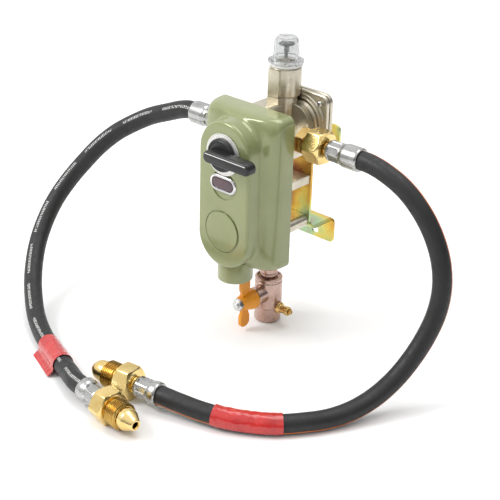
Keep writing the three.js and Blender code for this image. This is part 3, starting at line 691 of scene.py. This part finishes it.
# ---------- changeover unit ----------
def outline_rings(rows, per_corner=22, x=0.0):
    """Rounded rectangles in the X-Z plane from [y, half, low, high, corner] rows."""
    return [[Vector((p[0], y, p[1])) for p in rounded(half, low, high, corner, x, per_corner)]
            for y, half, low, high, corner in rows]


def cover_row(step, y, inset=0.0):
    """The cover's outline between its front boss, step 0, and its full size, step 1."""
    half = 28.3 + 13.5 * step - inset
    return (y, half, -5.5 - step + inset, 127.3 + 5.2 * step - inset, 28.29 - 21.29 * step ** 1.5 - inset)


def add_cover():
    rows = []
    for k in range(8):
        angle = k / 7 * math.pi / 2
        rows.append(cover_row(0, FACE_Y + 3 * (1 - math.cos(angle)), 3 * (1 - math.sin(angle))))
    side = [
        (0, -126.6), (0.02, -121.5), (0.05, -117.6), (0.15, -115), (0.34, -113.7), (0.54, -112.4),
        (0.72, -110.2), (0.86, -107), (0.95, -102.5), (0.985, -97.5), (1, -92.5), (1, -89.5),
    ]
    rows += [cover_row(p[0], p[1]) for p in catmull(side, 4)]
    cover = skin("cover_shell", outline_rings(rows))
    inside = skin("inside", outline_rings([
        cover_row(0, -126.8, 3.2), cover_row(0.02, -114.5, 3), cover_row(0.5, -109, 3),
        cover_row(0.9, -102, 3), cover_row(1, -96, 3), cover_row(1, -88, 3),
    ], 10))
    lens_hole = skin("lens_hole", stadium_rings([(10.4, 3.6, -132), (10.4, 3.6, -124)]))
    spindle_hole = rod(4.3, 0, 8, (0, -132, KNOB_Z), (0, 1, 0), 40)
    recess = turned("recess", [(0, -2), (13.6, -2), (13.4, 0.2), (13, 1.1), (0, 1.1)],
                    (0.5, FACE_Y, 71.5), (0, 1, 0), 80)
    carve(cover, inside, recess, lens_hole, spindle_hole)
    groove = turned("groove", [(17.6, -0.7), (19.1, -0.7), (19.6, 1), (17.6, 1), (17.6, -0.7)],
                    (0, FACE_Y, DISC_Z), (0, -1, 0), 96)
    carve(cover, groove)
    disc = lathe("disc", [
        (0, -1), (17.9, -1), (17.9, 1, 0.5), (0, 1),
    ], 0.5, 5, (0, FACE_Y, DISC_Z), (0, -1, 0), 96)
    cup = lathe("cup", [
        (0, 19), (15.5, 19), (15.5, 0, 2.2), (12.6, 0, 0.6), (11.8, 2.2), (0, 2.2),
    ], 0.8, 5, (0, -112, -21.5), Z_UP, 96)
    fuse(cover, disc, cup)
    bevel(cover, 0.35, 2, 40)
    place(cover, "green", ["changeover_cover"])


def stadium_rings(rows, x=0.5, z=72.5, per_corner=12):
    """Rings of a long round-ended slot from [half length, half height, y] rows."""
    return [[Vector((p[0], y, p[1])) for p in rounded(half, z - tall, z + tall, tall - 0.01, x, per_corner)]
            for half, tall, y in rows]


def add_front():
    dial = lathe("dial_ring", [
        (4.6, 0), (18.4, 0), (18.4, 0.9), (17.6, 1.0), (17.2, 0.75), (16, 0.75), (15.7, 0.95), (12, 0.95),
        (4.6, 0.95), (4.6, 0),
    ], 0.15, 2, (0, FACE_Y - 0.3, KNOB_Z), (0, -1, 0), 120)
    place(dial, "dial", ["dial_plate"])

    bezel = skin("window_frame", stadium_rings([
        (12, 5, -129.1), (12, 5, -130.7), (12.25, 5.25, -131.25), (12.8, 5.8, -131.55),
        (13.4, 6.3, -131.55), (14, 6.9, -131.3), (14.55, 7.4, -130.9), (14.8, 7.6, -130.4),
        (14.8, 7.6, -130.1), (14.2, 7.2, -129.8), (13.2, 6.2, -129.6), (13.0, 6.0, -129.1),
    ]), loop=True)
    place(bezel, "steel", ["window_bezel"])
    lens = skin("window_pane", stadium_rings([
        (11.7, 4.7, -130.3), (11.7, 4.7, -130.8), (11.3, 4.3, -131.02), (10, 3.2, -131.12), (8, 1.6, -131.2),
    ]))
    place(lens, "lens", ["window_lens"])
    dress("indicator_flag", "flag", 0.4)

    hub = lathe("knob_hub", [
        (0, 0), (14.5, 0, 0.4), (14.5, 2.5, 0.8), (13.2, 3.9, 0.5), (12.2, 3.9, 0.3), (11.8, 3.5, 0.3),
        (0, 3.5),
    ], 0.4, 3, (0, FACE_Y - 1.6, KNOB_Z), (0, -1, 0), 96)
    rows = []
    for y, grow in ((-134.9, 0), (-141.6, 0), (-142.8, 0.15), (-143.6, 0.55), (-144.2, 1.15), (-144.5, 1.9)):
        half = 25.5 - grow
        rows.append([Vector((p[0], y, p[1])) for p in rounded(
            half, KNOB_Z - 5.5 + grow, KNOB_Z + 5.5 - grow, 5.2 - grow, 14.5, 14)])
    lever = skin("knob_lever", rows)
    fuse(hub, lever)
    hub.name = "selector_lever"
    bevel(hub, 0.3, 2, 45)
    place(hub, "black", ["selector_knob"], "selector")
    # A thin white strip along the upper part of the lever's front face: partly a pointer line, partly a
    # painted highlight of the lever's upper edge.
    rings = []
    for y, grow in ((-144.3, 0), (-144.5, 0), (-144.58, 0.06)):
        left, right, bottom, top = -8 + grow, 36.5 - grow, KNOB_Z + 2.75 + grow, KNOB_Z + 3.5 - grow
        corners = [(left, bottom), (right, bottom), (right, top), (left, top)]
        rings.append([Vector((x, y, z)) for x, z in soften(corners, 0.3, 3, closed=True)])
    line = skin("lever_pointer_and_highlight", rings)
    place(line, "white", body="selector")
    dress("selector_spindle", "steel", 0.4)
    for side, _ in SIDES:
        dress(f"cam_follower_{side}", "brass", 0.2)


def add_changeover_body():
    body = skin("casting_body", outline_rings([
        (-89.2, 36.4, -3.4, 129.4, 11.4), (-88.8, 37, -4, 130, 12), (-84.6, 37, -4, 130, 12),
        (-84, 36.4, -3.4, 129.4, 11.4),
    ], 10))
    block_shape = [(-34.7, 90), (34.7, 90), (34.7, 111), (-34.7, 111)]
    crossing = prism("crossing", soften(block_shape, 2.5, 4, closed=True), 56, 85)
    join = lathe("join", [(0, 0), (18.2, 0), (17, 2.2), (17, 7.2), (0, 7.2)], 0.8, 4,
                 (STAGE_X, -57, STAGE_Z), (0, 1, 0))
    column = lathe("column", [(0, 95), (11.8, 95), (11.8, 133.2), (10.8, 134.2), (0, 134.2)], 0.3, 2,
                   (0, TOWER_Y, 0), Z_UP)
    carve(column, block("trim", (-20, 20), (-49.8, 0), (90, 140)))
    footing = prism("footing", [(-9.2, 95), (9.2, 95), (6.1, 134.2), (-6.1, 134.2)], 54, 69.7)
    spine = prism("spine", soften([(-18, -2), (18, -2), (18, 91), (-18, 91)], 2.5, 4, closed=True), 66, 85)
    boss = lathe("boss", [
        (0, 11), (13, 11), (13, -20, 1.2), (8.4, -20, 0.4), (8.4, -12), (0, -12),
    ], 0.5, 3, (0, VALVE_Y, 0), Z_UP, 72)
    upper = prism("upper", soften([
        (-14, 47), (14, 47), (14, 55.5), (-14, 55.5),
    ], 1.2, 3, closed=True), 31.3, 67)
    lower = prism("lower", rounded(14, 4, 16, 5.6, 0, 8), 31.3, 67)
    saddle = prism("saddle", rounded(12, 108, 129, 5, -4, 6), 56, 86)
    lug = lathe("lug", [
        (0, 96), (5.2, 96), (5.2, 133.9), (0, 133.9),
    ], 1.2, 4, (-11.5, -51, 0), Z_UP, 40)
    fuse(body, crossing, join, column, footing, spine, boss, upper, lower, saddle, lug)
    across = [rod(4.5, -2, 40, (0, PORT_Y, PORT_Z[side]), (sign, 0, 0), 32)
              for side, sign in SIDES]
    well = rod(6.5, 122, 136, (0, TOWER_Y, 0), Z_UP, 32)
    carve(body, *across, well)
    bevel(body, 0.5, 2, 40)
    place(body, "casting", ["changeover_body"])


# ---------- second-stage regulator ----------
def stage_rings(rows):
    """Outlines of the second stage's square flange from [y, inset] rows."""
    return [[Vector((p[0], y, p[1])) for p in rounded(
        28.5 - inset, 82 + inset, 139 - inset, 8 - min(inset, 7), STAGE_X, 12)] for y, inset in rows]


def tower_notch():
    return rod(14.5, 134.2, 142, (0, TOWER_Y, 0), Z_UP, 64)


def add_second_stage():
    front = skin("flange_front", stage_rings([
        (-43.1, 0.5), (-43.4, 0.1), (-43.8, 0), (-45.6, 0), (-46.3, 0.3), (-46.7, 0.9), (-46.7, 1.9),
        (-46.4, 2.6), (-45.8, 3.1), (-45.3, 3.7), (-45.15, 4.6),
    ]))
    rib = lathe("rib", [
        (19.2, -0.6), (19.9, 0.9), (20.6, 1.9), (21.6, 1.9), (22.2, 1.1), (23.6, 1.0), (24.2, 1.8),
        (25.1, 1.9), (25.8, 1.0), (26.4, -0.6), (19.2, -0.6),
    ], 0.3, 3, (STAGE_X, -45.2, STAGE_Z), (0, -1, 0), 120)
    boss = lathe("boss", [(0, -0.5), (19.6, -0.5), (19.2, 3.2, 1.2), (17, 4.3), (0, 4.3)], 0.6, 4,
                 (STAGE_X, -45.2, STAGE_Z), (0, -1, 0), 96)
    fuse(front, rib, boss)
    carve(front, tower_notch())
    bevel(front, 0.25, 2, 45)
    place(front, "casting", ["second_stage_body"])

    back = skin("flange_back", stage_rings([
        (-42, 0.5), (-41.7, 0.1), (-41.3, 0), (-39, 0), (-38.3, 0.3), (-38, 0.9), (-38, 2.2), (-38.5, 2.8),
        (-38.6, 3.6),
    ]))
    bonnet = lathe("bonnet", [
        (0, -1), (25.2, -1), (24.2, 1.2, 1.2), (24, 4, 1.5), (21.5, 6.6, 1.2), (17, 7.0), (15.8, 6.2),
        (8.6, 6.2), (8, 7.0), (0, 7.0),
    ], 0.7, 4, (STAGE_X, -38.6, STAGE_Z), (0, 1, 0), 96)
    fuse(back, bonnet)
    vent = rod(1.2, -1, 6, (STAGE_X + 14, -35, STAGE_Z), (0, 1, 0), 20)
    pocket = rod(10.6, -4, 5.5, (STAGE_X, -38.6, STAGE_Z), (0, 1, 0), 64)
    carve(back, tower_notch(), vent, pocket)
    bevel(back, 0.25, 2, 45)
    place(back, "casting", ["second_stage_cover"])
    dress("diaphragm", "seal")
    dress("diaphragm_plate", "steel", 0.3)
    dress("main_spring", "steel")
    corners = [(STAGE_X + dx, STAGE_Z + dz) for dz in (-20.6, 20.6) for dx in (-20.6, 20.6)]
    for number, (x, z) in enumerate(corners, 1):
        head = slotted_head(f"flange_bolt_{number}", soften([
            (0, -8), (1.6, -8), (1.6, 0), (2.6, 0), (2.6, 1.2, 0.6), (1.9, 2.1), (0, 2.25),
        ], 0.3, 3), (x, -46.8, z), (0, -1, 0), (1.7, 0.6, 0.9, 3), cross=True)
        place(head, "steel", [f"flange_screw_{number}"])


# ---------- over-pressure shut-off tower ----------
def add_tower():
    at = (0, TOWER_Y, 0)
    tower = lathe("tower", [
        (7, 134.5), (14, 134.5, 0.8), (14, 158.6, 0.6), (13.2, 159.7), (4.5, 159.7), (3.4, 163),
        (2.9, 166), (2.1, 166), (2.1, 157.7), (7, 157.7), (7, 134.5),
    ], 0.4, 3, at, Z_UP, 96)
    pad = prism("pad", soften([
        (-6, 134.5), (6, 134.5), (6, 158.5), (-6, 158.5),
    ], 0.8, 3, closed=True), 60, 69.7)
    fuse(tower, pad)
    bevel(tower, 0.4, 3, 40)
    place(tower, "casting", ["opso_tower"])
    rim = lathe("tower_rim", [
        (8, 160), (14.8, 160), (14.8, 162), (8, 162), (8, 160),
    ], 0.6, 4, at, Z_UP, 96)
    place(rim, "white", ["opso_rim_ring"])

    def fluted(radius, along, angle):
        if radius > 12.5 and along < 165:
            return radius - 0.35 * (1 - math.cos(28 * angle))
        if 10.6 < radius <= 12.5 and along < 170:
            return radius - 0.14 * (1 - math.cos(28 * angle))
        return radius

    cap = lathe("tower_cap", [
        (9.4, 162.3), (15.5, 162.3, 0.5), (15.5, 164.6, 0.9), (12.2, 165.6, 0.6), (11.5, 167.2),
        (10.9, 178), (10.5, 182.2, 2.4), (8.4, 184.5, 1.8), (0, 184.5), (0, 183.2), (7.6, 183.1, 1.2),
        (9.2, 180.9, 1.5), (9.6, 168), (9.4, 162.3),
    ], 0.5, 5, at, Z_UP, 168, fluted)
    place(cap, "clear", ["opso_cap"], "shutoff_cap")
    stem = lathe("reset_stem", [
        (0, 134), (1.75, 134), (1.75, 140), (5, 140), (5, 142), (1.75, 142), (1.75, 170.4),
        (2.5, 171, 0.6), (2.1, 175.2, 1.4), (3, 177.2, 1), (6.6, 177.6), (7, 178.4), (6.4, 179.2),
        (0, 179.2),
    ], 0.35, 4, at, Z_UP, 48)
    place(stem, "stem", ["opso_stem"], "shutoff_stem")
    dress("opso_spring", "steel")


# ---------- inlets ----------
def add_inlets():
    for side, sign in SIDES:
        inset, axis = INSET[side], (sign, 0, 0)
        mouth = Vector((0, PORT_Y, PORT_Z[side]))
        at = mouth - Vector(axis) * inset
        hexagon = (35, 44 - inset)
        adapter = nut(f"inlet_adapter_{side}", 22, *hexagon, 4, mouth, axis, corner_up=True, ends=(0.3, 1.1))
        tube_end = lathe("tube_end", [
            (4, 43), (8, 43), (8, 56), (4, 56), (4, 43),
        ], 0.4, 2, at, axis, 48)
        fuse(adapter, tube_end)
        place(adapter, "brass", [f"inlet_nipple_{side}"])
        union = nut(f"union_{side}", 27, 44.8, 62, 6.3, at, axis, ends=(2.2, 3.4))
        hollow = rod(8.3, 44, 58.9, at, axis, 48)
        carve(union, hollow)
        place(union, "bright_brass", [f"union_nut_{side}"], f"inlet_nut_{side}")
        tail = lathe(f"hose_barb_{side}", [
            (3.2, 56.3), (7.8, 56.3), (7.8, 58.6), (6, 58.6), (6, 62.4), (5.6, 63.7), (3.2, 63.7),
            (3.2, 56.3),
        ], 0.3, 3, at, axis, 64)
        place(tail, "brass", [f"hose_tail_{side}"])
        sleeve = ferrule(f"crimp_regulator_{side}", soften([
            (3.2, 64), (7.5, 64), (9, 66, 1), (9.35, 80, 0.6), (10.3, 82.6, 1), (10.3, 96.6, 1),
            (9.3, 98, 0.6), (3.2, 98), (3.2, 64),
        ], 0.5, 3), (67.6, 78.6), at, axis)
        place(sleeve, "crimp", [f"regulator_ferrule_{side}"])


# ---------- cylinder fittings ----------
def add_cylinder_fittings():
    for side, _ in SIDES:
        end, before = (Vector(p) for p in (ROUTES[side][-1], ROUTES[side][-2]))
        axis = (end - before).normalized()
        sleeve = ferrule(f"crimp_cylinder_{side}", soften([
            (3.2, 0.3), (9.3, 0.3), (10.3, 1.6, 1), (10.3, 6.6, 1), (9.35, 9.4, 0.6), (9, 22, 1),
            (7.5, 24), (3.2, 24), (3.2, 0.3),
        ], 0.5, 3), (10.4, 20.6), end, axis)
        place(sleeve, "crimp", [f"cylinder_ferrule_{side}"])

        corner = [(12.6 + 0.5 * k, 1.7 * k / 6) for k in range(7)]
        piece = turned(f"cylinder_union_{side}", [
            (5.8, HEX), *((r, HEX + d) for r, d in corner), *((r, THREAD - d) for r, d in corner[::-1]),
            (5.8, THREAD), (5.8, HEX),
        ], end, axis, 96, lambda r, _, a: min(r, hex_radius(HEX_ACROSS, a, False), 15.3))
        place(piece, "bright_brass", [f"cylinder_nut_{side}"], f"cylinder_nut_{side}")

        pitch, root, crest, first, last = 1.81, 10.3, 11.6, 43, 56.5

        def threaded(radius, along, angle):
            if abs(radius - crest) > 0.01:
                return radius
            wave = abs(((along / pitch - angle / (2 * math.pi)) % 1) * 2 - 1)
            fade = min(1.0, (along - first) / 1.2, (last + 0.1 - along) / 1.2)
            return root - 0.6 * (1 - fade) + (crest - root) * min(1.0, 1.35 * wave) * max(0.0, fade)

        # The threaded part wears the darker thread brass, which is painted shade for its grooves.
        piece = turned(f"cylinder_thread_{side}", [
            (5.8, THREAD), (9.7, THREAD), (9.7, first), *((crest, first + 0.15 * k) for k in range(1, 90)),
            (9.7, last), (5.8, last), (5.8, THREAD),
        ], end, axis, 96, threaded)
        place(piece, "thread", body=f"cylinder_nut_{side}")

        nose = [(9.2, 62, 1.2), (5.4, 69.4, 0.6), (4.4, TIP, 0.4), (3.2, TIP, 0.3), (2.6, 69.6)]
        if side == "right":
            nose = [(9.2, 61.5, 3.5), (8.2, 66.2, 3), (4.6, 70.6, 1.5), (3.6, TIP, 0.3), (2.4, TIP)]
        stem = lathe(f"bullnose_{side}", [
            (2.4, 24.3), (7.5, 24.3), (7.5, 26.2), (5.5, 26.2), (5.5, NOSE), (9.2, NOSE, 0.5), *nose,
            (2.4, 24.3),
        ], 0.4, 5, end, axis, 72)
        place(stem, "bright_brass", [f"bullnose_stem_{side}"])


# ---------- labels ----------
def add_labels():
    spans = {
        "left": (0.805, 0.895, [(9.0, -4.6), (13.9, -8.5)]),
        "right": (0.755, 0.885, [(9.0, -3.6), (11.8, -7.2)]),
    }
    for side, (start, stop, flap) in spans.items():
        line = catmull(ROUTES[side], LINE_STEPS)
        lengths = [0.0]
        for a, b in zip(line, line[1:]):
            lengths.append(lengths[-1] + (b - a).length)

        def at(u):
            want = u * lengths[-1]
            i = max(k for k in range(len(line) - 1) if lengths[k] <= want)
            t = (want - lengths[i]) / (lengths[i + 1] - lengths[i])
            return line[i].lerp(line[i + 1], t), (line[i + 1] - line[i]).normalized()

        steps, outer, inner = 60, [], []
        for k in range(steps + 1):
            u = start + (stop - start) * k / steps
            centre, along = at(u)
            lateral = along.cross(Z_UP).normalized()
            above = lateral.cross(along)
            path = [(8.95, math.radians(215 - 225 * i / 44)) for i in range(45)]
            points = [Vector((r * math.cos(a), r * math.sin(a))) for r, a in path]
            first, last = Vector(flap[0]), Vector(flap[1])
            points += [first.lerp(last, i / 10) for i in range(1, 11)]
            rows_out, rows_in = [], []
            for i, p in enumerate(points):
                if i <= 44:
                    normal = p.normalized()
                else:
                    normal = Vector((0.6, 0.8)) if side == "left" else Vector((0.75, 0.66))
                where = Vector((k * 1.1, i * 0.9, 3.0 if side == "left" else 9.0))
                crease = abs(noise.noise(where * 0.16)) * 0.9 + abs(noise.noise(where * 0.42)) * 0.35
                lift = 0.12 + (0.45 if i <= 44 else 0.9) * min(1.0, crease)
                body = centre + lateral * (p.x + normal.x * lift) + above * (p.y + normal.y * lift)
                rows_out.append(body)
                rows_in.append(body - (lateral * normal.x + above * normal.y) * 0.22)
            outer.append(rows_out)
            inner.append(rows_in)
        rings = [o + i[::-1] for o, i in zip(outer, inner)]
        piece = skin(f"tape_label_{side}", rings)
        place(piece, "red", [f"hose_label_{side}"], angle=60)


# ---------- outlet valve ----------
def add_valve():
    at, up, forward = (0, VALVE_Y, 0), Z_UP, (0, -1, 0)
    hub_at = (0, VALVE_Y, VALVE_Z)
    neck = lathe("outlet_pipe", [
        (5, -43.7), (8, -43.7), (8, -33), (7.7, -32.4), (8, -31.8), (8, -12.3), (5, -12.3), (5, -43.7),
    ], 0.4, 3, at, up, 64)
    place(neck, "valve", ["outlet_neck"])
    body = lathe("valve_shell", [
        (0, -79.5), (11.2, -79.5, 0.4), (12, -78.2, 0.5), (12, -66.2), (12.5, -65.4, 0.3),
        (12.5, -40.6, 0.4), (11.9, -40, 0.3), (11.9, -38.6, 0.3), (12.5, -38, 0.3), (12.5, -36.6, 0.5),
        (11.9, -36, 0.3), (0, -36),
    ], 0.4, 3, at, up, 120)
    boss = lathe("boss", [
        (0, 6), (8.8, 6), (8.5, 19, 0.6), (8, 20, 0.4), (0, 20),
    ], 0.4, 3, hub_at, forward, 64)
    side_boss = lathe("side_boss", [
        (0, 6), (5.4, 6), (5.4, 13), (0, 13),
    ], 0.3, 2, (0, VALVE_Y, TEST_Z), (1, 0, 0), 48)
    fuse(body, boss, side_boss)
    top = lathe("top", [
        (0, -44), (8.3, -44), (8.3, -38.6), (10.4, -37.6), (10.6, -35), (0, -35),
    ], 0.2, 2, at, up, 64)
    socket = turned("socket", [(0, -81), (7.9, -81), (7.5, -78.6), (7.5, -66), (0, -66)], at, up, 48)
    gland = rod(5.2, 15, 21, hub_at, forward, 40)
    angle = math.radians(-25)
    out = Vector((math.sin(angle), -math.cos(angle), 0))
    lateral = Vector((math.cos(angle), math.sin(angle), 0))
    corners = ((11.2, -9), (16, -9), (16, 9), (11.2, 9))
    flat = [Vector((0, VALVE_Y, 0)) + out * d + lateral * w for d, w in corners]
    wrench = skin("wrench", [[p + Vector((0, 0, z)) for p in flat] for z in (-80.5, -67.4)])
    turns = [math.radians(-90 + 7.5 * k) for k in range(25)]
    arc = [(BALL_POCKET * max(math.cos(a), 0.0), BALL_POCKET * math.sin(a)) for a in turns]
    pocket = turned("ball_pocket", arc, hub_at, up, 72)
    carve(body, top, socket, gland, wrench, pocket)
    bevel(body, 0.3, 2, 40)
    place(body, "valve", ["valve_body"])
    dress("valve_ball", "steel")

    packing = nut("gland_hexagon", 15, 20.3, 25, 3.3, hub_at, forward, ends=(0.6, 0.8))
    place(packing, "black", ["gland_nut"])
    stem = lathe("valve_spindle", [
        (0, 9), (3, 9), (3, 44.1), (2.5, 44.5), (0, 44.5),
    ], 0.2, 2, hub_at, forward, 40)
    place(stem, "steel", ["valve_stem"], "outlet_handle")
    cap_nut = nut("handle_hexagon", 10, 38.8, 43, 3.1, hub_at, forward, ends=(0.5, 0.9))
    place(cap_nut, "steel", ["handle_nut"], "outlet_handle")

    # Butterfly: a deep hub that widens towards the valve, and a flat wing above and below it.
    def squared(radius, along, angle):
        square = 1 / max(abs(math.cos(angle)), abs(math.sin(angle)))
        return min(radius * (0.72 + 0.28 * min(square, 1.25)), 8 / max(abs(math.sin(angle)), 0.5))

    hub = lathe("handle_hub", [
        (0, 26.6), (8, 26.6), (8, 29.5, 0.6), (7.4, 31, 0.5), (6.2, 37.2, 0.5), (5.6, 38.5, 0.4), (0, 38.5),
    ], 0.5, 3, hub_at, forward, 72, squared)
    skirt = lathe("skirt", [
        (8.9, 22), (9.8, 22), (9.2, 27.4), (8, 30), (7, 30), (8.9, 26.4), (8.9, 22),
    ], 0.3, 2, hub_at, forward, 72)
    wings = []
    for sign in (-1, 1):
        outline = [
            (27, 5), (28.6, 9), (28.6, 11), (27, 13.5), (27, 21), (30.2, 24), (35.8, 24), (38.2, 21),
            (38.2, 13), (36.4, 9.5), (36.4, 5),
        ]
        shape = soften(outline, 1.0, 3, closed=True)
        rings = [[Vector((x, VALVE_Y - p[0], VALVE_Z + sign * p[1])) for p in shape] for x in (-1.6, 1.6)]
        wings.append(skin("wing", rings))
    wings.append(skirt)
    fuse(hub, *wings)
    carve(hub, rod(3.3, 20, 45, hub_at, forward, 40))
    bevel(hub, 0.45, 3, 40)
    hub.name = "butterfly_handle"
    place(hub, "orange", ["valve_handle"], "outlet_handle")

    port = (0, VALVE_Y, TEST_Z)
    nipple = lathe("test_point", [
        (1.6, 13.3), (5.4, 13.3), (5.4, 15.2, 0.5), (4.1, 15.7), (3.7, 16.4), (3.7, 21.4), (4.1, 21.9),
        (4.1, 24.9, 0.5), (3.6, 25.5), (2.6, 25.5), (2.6, 18.5), (1.6, 18.5), (1.6, 13.3),
    ], 0.25, 3, port, (1, 0, 0), 56)
    place(nipple, "brass", ["test_nipple"])
    dress("test_seal", "seal", 0.2)
    screw = slotted_head("test_plug", soften([
        (0, 20.3), (2.3, 20.3), (2.3, 27.3), (1.9, 28), (0, 28),
    ], 0.3, 3), port, (1, 0, 0), (3, 0.9, 26.6, 30))
    place(screw, "brass", ["test_screw"], "test_plug_screw")


# ---------- wall bracket ----------
def add_bracket():
    centre = [(-1.25, -18.5), (-1.25, 5.25), (-29.75, 5.25), (-29.75, 71.25), (-1.25, 71.25), (-1.25, 95.5)]
    path = soften(centre, 3.4, 6)
    left, right = [], []
    for i, p in enumerate(path):
        along = (path[min(i + 1, len(path) - 1)] - path[max(i - 1, 0)]).normalized()
        normal = Vector((-along.y, along.x)) * 1.25
        left.append(p + normal)
        right.append(p - normal)
    section = left + right[::-1]
    strip = skin("strip", [[Vector((x, p[0], p[1])) for p in section] for x in (-22, 22)])
    plan = soften([
        (21, -18.5, 4), (21, 3.2, 3), (15, 9.0, 2), (15, 66.5, 2), (22, 71.5, 3), (22, 95.5, 6),
        (-22, 95.5, 6), (-22, 71.5, 3), (-15, 66.5, 2), (-15, 9.0, 2), (-21, 3.2, 3), (-21, -18.5, 4),
    ], 3, 5, closed=True)
    keep = skin("keep", [[Vector((x, y, z)) for x, z in plan] for y in (-40, 10)])
    combine(strip, [keep], "INTERSECT")
    holes = [rod(4, -6, 2, (0, 0, z), (0, 1, 0), 40) for z in (-11.5, 84)]
    holes += [rod(2.8, -34, -26, (0, 0, z), (0, 1, 0), 32) for _, z in BRACKET_SCREWS]
    carve(strip, *holes)
    bevel(strip, 0.3, 2, 50)
    strip.name = "bracket_sheet"
    place(strip, "zinc", ["wall_bracket"])
    for which, z in BRACKET_SCREWS:
        screw = slotted_head(f"fixing_screw_{which}", soften([
            (0, 0), (2, 0), (2, 14), (4.5, 14), (4.5, 15.6, 0.8), (3.4, 17.2), (0, 17.5),
        ], 0.4, 4), (0, -42.2, z), (0, 1, 0), (3, 0.9, 16.2, 19), cross=True)
        place(screw, "steel", [f"bracket_screw_{which}"])


add_cover()
add_front()
add_changeover_body()
add_second_stage()
add_tower()
add_inlets()
add_cylinder_fittings()
add_labels()
add_valve()
add_bracket()
add_hoses()
